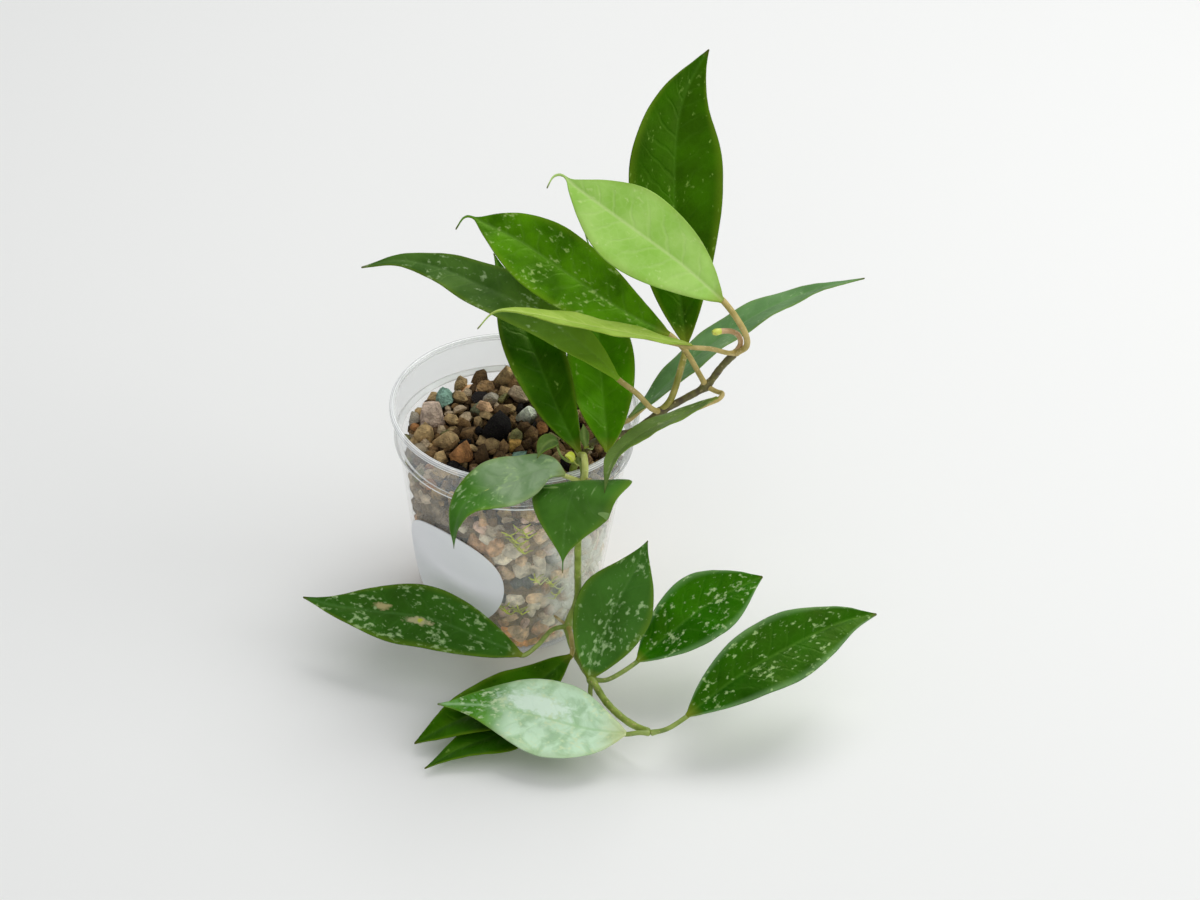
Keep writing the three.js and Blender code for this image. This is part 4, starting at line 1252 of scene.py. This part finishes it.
def painted_sheen_mask(add, flat, along, share, end):
    """Painted sheen: pale patches over the blade, stopping short of the tip, that stand for the
    reflection of a bright light.
    """
    blots = add("TexNoise", {"Vector": flat, "Scale": 1 / PAINTED_SHEEN_BLOT_SIZE, "Detail": 4,
                             "Distortion": 0.6})
    patches = add("MapRange", [blots, 0.38, 0.56, 0.6 * share, share])
    tipward = add("MapRange", [along, end - 0.2, end, 1, 0], interpolation_type="SMOOTHSTEP")
    return add("Math", [patches, tipward], operation="MULTIPLY")


def scar_and_sheen_patch(add, flat, spots, place, size):
    """A ragged oval patch at a place on the blade, both in mm along and across it: a healed scar on
    one leaf, and a painted highlight on another.
    """
    walk, off = place
    away = add("VectorMath", [flat, (walk, UV_UNIT / 2 + off, 0)], operation="SUBTRACT")
    squeezed = add("VectorMath", [away, (1 / size[0], 1 / size[1], 0)], operation="MULTIPLY")
    distance = add("VectorMath", [squeezed], out="Value", operation="LENGTH")
    ragged = add("Math", [spots, 1.6, distance], operation="MULTIPLY_ADD")
    return add("MapRange", [ragged, 1.3, 1.8, 0.9, 0])


# %% The whole skin, above and below
PALE_SHEEN = "#bfe66e"
GREEN_SHEEN = "#b6e63c"
OLIVE = "#7d9426"
PALE_GREEN = "#a2c890"
YELLOWISH = "#8c9030"
DRY_TIP = "#4d3a1c"


def leaf_skin(name, dark, light, vein, fleck, flecked, roughness=0.3, vein_share=0.15,
              painted_sheen_colour=None, painted_sheen_share=0, painted_sheen_end=0.6, scars_and_sheen_patches=(), sheen=PALE_SHEEN,
              margin_tint=OLIVE, base_tint=YELLOWISH, base_end=0.07):
    """Glossy green cuticle. flecked runs from 0, hardly any flecks, to 1, very many."""
    material, add, shader = new_material(
        name, Specular_IOR_Level=0.4, Specular_Tint=linear(sheen)
    )
    flat = blade_map(add)
    walked = add("SeparateXYZ", [flat])
    off_middle = add("Math", [walked.node.outputs[1], UV_UNIT / 2], operation="SUBTRACT")
    reach = add("Math", [off_middle], operation="ABSOLUTE")
    edge, along = (add("Attribute", out="Fac", attribute_name=layer) for layer in
                   ("edge", "along"))
    veins = side_veins(add, flat, walked, off_middle, reach, edge)
    net = add("TexVoronoi", {"Vector": flat, "Scale": 1 / NET_SIZE},
              feature="DISTANCE_TO_EDGE")
    net_line = add("MapRange", [net, 0.02, 0.16, 1, 0])
    spots, flecks = silvery_flecks(add, flat, flecked)
    cloud = add("TexNoise", {"Vector": flat, "Scale": 1 / CLOUD_SIZE, "Detail": 3})

    layers = [(add("MapRange", [cloud, 0.36, 0.64]), light)]
    # Painted sheen: pale patches laid over the colour where a flat blade reflects the bright light
    if painted_sheen_colour:
        layers.append((painted_sheen_mask(add, flat, along, painted_sheen_share, painted_sheen_end), painted_sheen_colour))
    layers += [
        (add("Math", [net_line, 0.4 * vein_share], operation="MULTIPLY"), vein),
        (add("Math", [veins, vein_share], operation="MULTIPLY"), vein),
        (flecks, fleck),
        (add("MapRange", [reach, 0.15, 0.7, 3 * vein_share, 0]), vein),
        *((scar_and_sheen_patch(add, flat, spots, *where), colour) for *where, colour in scars_and_sheen_patches),
        (add("MapRange", [edge, 0.75, 1, 0, 0.28], interpolation_type="SMOOTHSTEP"),
         margin_tint),
        (add("MapRange", [along, 0, base_end, 0.6, 0]), base_tint),
        (add("MapRange", [along, 0.965, 1, 0, 0.85]), DRY_TIP),
    ]
    matt = add("MapRange", [spots, 0.3, 0.7, roughness - 0.04, roughness + 0.1])
    wire(matt, shader["Roughness"])
    grain = add("Math", [spots, 0.2, cloud], operation="MULTIPLY_ADD")
    sunk = add("Math", [veins, -0.5, grain], operation="MULTIPLY_ADD")
    relief = add("Math", [net_line, -0.1, sunk], operation="MULTIPLY_ADD")
    surface(add, shader, painted(add, linear(dark), layers), relief, 0.5, 0.2)
    return material


def underside_skin(name, pale, paler):
    """The matt pale green underside, softly clouded."""
    material, add, shader = new_material(name, Roughness=0.5)
    cloud = add("TexNoise", {"Vector": blade_map(add), "Scale": 1 / UNDERSIDE_CLOUD_SIZE,
                             "Detail": 4})
    share = add("MapRange", [cloud, 0.35, 0.65])
    surface(add, shader, painted(add, linear(pale), [(share, paler)]), cloud, 0.4, 0.2)
    return material


# %% The finishes that the leaves of this plant wear
# Where the UV maps start, in mm, of the leaf with scars and of the leaf with a painted highlight
SCARRED, SHEEN_PATCHED = (
    UV_UNIT * UV_SHIFT * list(LEAVES).index(name) for name in ("lower_leaf_1", "lower_leaf_6")
)
SKINS = {
    # Old leaves: very deep green, hardly any flecks
    "deep": leaf_skin("deep_green_cuticle", "#1d4600", "#2c5e00", "#5c8a30", "#7fa048", -0.15,
                      vein_share=0.05, sheen=GREEN_SHEEN),
    "glossy": leaf_skin("glossy_green_cuticle", "#326600", "#4e8e04", "#6f9a3a", "#8fae55", -0.05,
                        vein_share=0.05, sheen=GREEN_SHEEN),
    # Old leaves with the silvery splashes of this hoya
    "flecked": leaf_skin("flecked_green_cuticle", "#2f6002", "#528c08", "#7ba24a", "#a4c070",
                         0.15, vein_share=0.08, sheen=GREEN_SHEEN),
    "splashed": leaf_skin(
        "splashed_green_cuticle", "#204c0a", "#2d6014", "#5c8848", "#a4c088", 0.42, 0.36, 0.08,
        scars_and_sheen_patches=(((SCARRED + 35.5, 1.6), (5.5, 1.6), "#b9b389"),
               ((SCARRED + 48, -1.8), (3.2, 1.4), "#b3a577"),
               ((SCARRED + 35, 1.3), (1.2, 0.9), "#b8c23c")),
    ),
    # Duller leaves in the shade
    "dull": leaf_skin("dull_green_cuticle", "#2c5a18", "#3a6c24", "#5f8a48", "#a6c48c", 0.36,
                      0.42, 0.06),
    "shaded": leaf_skin("shaded_green_cuticle", "#335f18", "#4a7c28", "#64904a", "#8cae6c", -0.05,
                        0.4, 0.06),
    "plain": leaf_skin("plain_green_cuticle", "#527c44", "#6a9658", "#84a474", "#a0bc8c", 0,
                       0.42, 0.1),
    "grey": leaf_skin("grey_green_cuticle", "#4c6624", "#68843c", "#84985c", "#a4b47c", -0.1,
                      0.42, 0.06),
    "greyed": leaf_skin("greyed_green_cuticle", "#294f14", "#456a26", "#6d8a54", "#a0b886", 0.08,
                        0.36, 0.06, base_tint="#92c428", base_end=0.52),
    # Younger leaves of the lower stem: bright and saturated
    "lush": leaf_skin("lush_green_cuticle", "#0e4000", "#185400", "#5c8c30", "#a8c484", 0.28,
                      0.36, 0.06, sheen=GREEN_SHEEN, margin_tint=PALE_GREEN),
    "bright": leaf_skin("bright_green_cuticle", "#164e00", "#226400", "#66963a", "#b4cc94", 0.28,
                        vein_share=0.06, sheen=GREEN_SHEEN, margin_tint=PALE_GREEN),
    # Half-grown leaves: light and yellowish, with a pale midrib
    "young": leaf_skin(
        "young_pale_cuticle", "#96c854", "#aed870", "#c8e294", "#c4e08c", 0, 0.4, 0.2
    ),
    "olive": leaf_skin(
        "young_olive_cuticle", "#8cac38", "#a8c454", "#c4d47c", "#bcd07c", 0, 0.4, 0.2
    ),
    "sprout": leaf_skin("dull_sprout_cuticle", "#3f5a22", "#587234", "#8a9c58", "#94a868", 0,
                        0.4),
    # Leaves with a painted sheen, a pale reflection of the bright light above and behind, that
    # leaves the tip green
    "silver": leaf_skin(
        "sky_sheen_painted_cuticle", "#3f8018", "#62a034", "#a8cf9c", "#d4e6bc", 0.5, 0.34, 0.2,
        painted_sheen_colour="#d4f0d4", painted_sheen_share=0.92, painted_sheen_end=0.77, base_tint="#c6c07c", base_end=0.16,
        # The pale oval is a painted highlight: the sheen of the bright sky on the flat blade
        scars_and_sheen_patches=(((SHEEN_PATCHED + 29, -3.8), (13, 4.2), "#e2f6e4"),),
    ),
    # Painted sheen: the grey-green over the flat part near the base is the sheen of the window
    # light
    "clouded": leaf_skin(
        "grey_sheen_painted_cuticle", "#33661a", "#487e2a", "#74985c", "#a4c088", 0.3, 0.38, 0.06,
        painted_sheen_colour="#a4b898", painted_sheen_share=0.7, painted_sheen_end=0.62,
    ),
    # New growth
    "fresh": leaf_skin("fresh_cuticle", "#bcc83a", "#d8dc58", "#dede86", "#d8de80", -0.2, 0.35),
}
UNDERSIDE = underside_skin("matt_pale_underside", "#6f9644", "#8aad5c")
YOUNG_UNDERSIDE = underside_skin("matt_young_underside", "#8cb257", "#a6c673")
STALKS = {
    "green": stem_material("green_leaf_stalk", "#6c8433", "#8ea24c", "#a9a866", 3.5, 0.4),
    "pale": stem_material("pale_leaf_stalk", "#b4be58", "#ccd27c", "#dcdca0", 3.5, 0.4),
    "tan": stem_material("tan_leaf_stalk", "#a3924a", "#c0ac68", "#d0ba84", 3.5, 0.45),
    "olive": stem_material("olive_leaf_stalk", "#84842f", "#a69c4c", "#b8aa6c", 3.5, 0.45),
}
YOUNG_SKINS = ("young", "olive", "fresh")

# %% Grow every leaf
slots = {part["node"]: part["material_slot"] for part in frame["record"]["subparts"]}
for number, (name, leaf) in enumerate(LEAVES.items()):
    leaf_bm = bmesh.new()
    stalk(leaf_bm, leaf, *blade(leaf_bm, leaf, number))
    bmesh.ops.recalc_face_normals(leaf_bm, faces=leaf_bm.faces)
    underside = YOUNG_UNDERSIDE if leaf.skin in YOUNG_SKINS else UNDERSIDE
    finishes = [SKINS[leaf.skin], underside, STALKS[leaf.stalk_skin]]
    piece = finish_piece(name + "_grown", leaf_bm, finishes, slots[name], name)
    smooth = piece.modifiers.new("smooth", "SUBSURF")
    smooth.levels = 1
    smooth.render_levels = 1
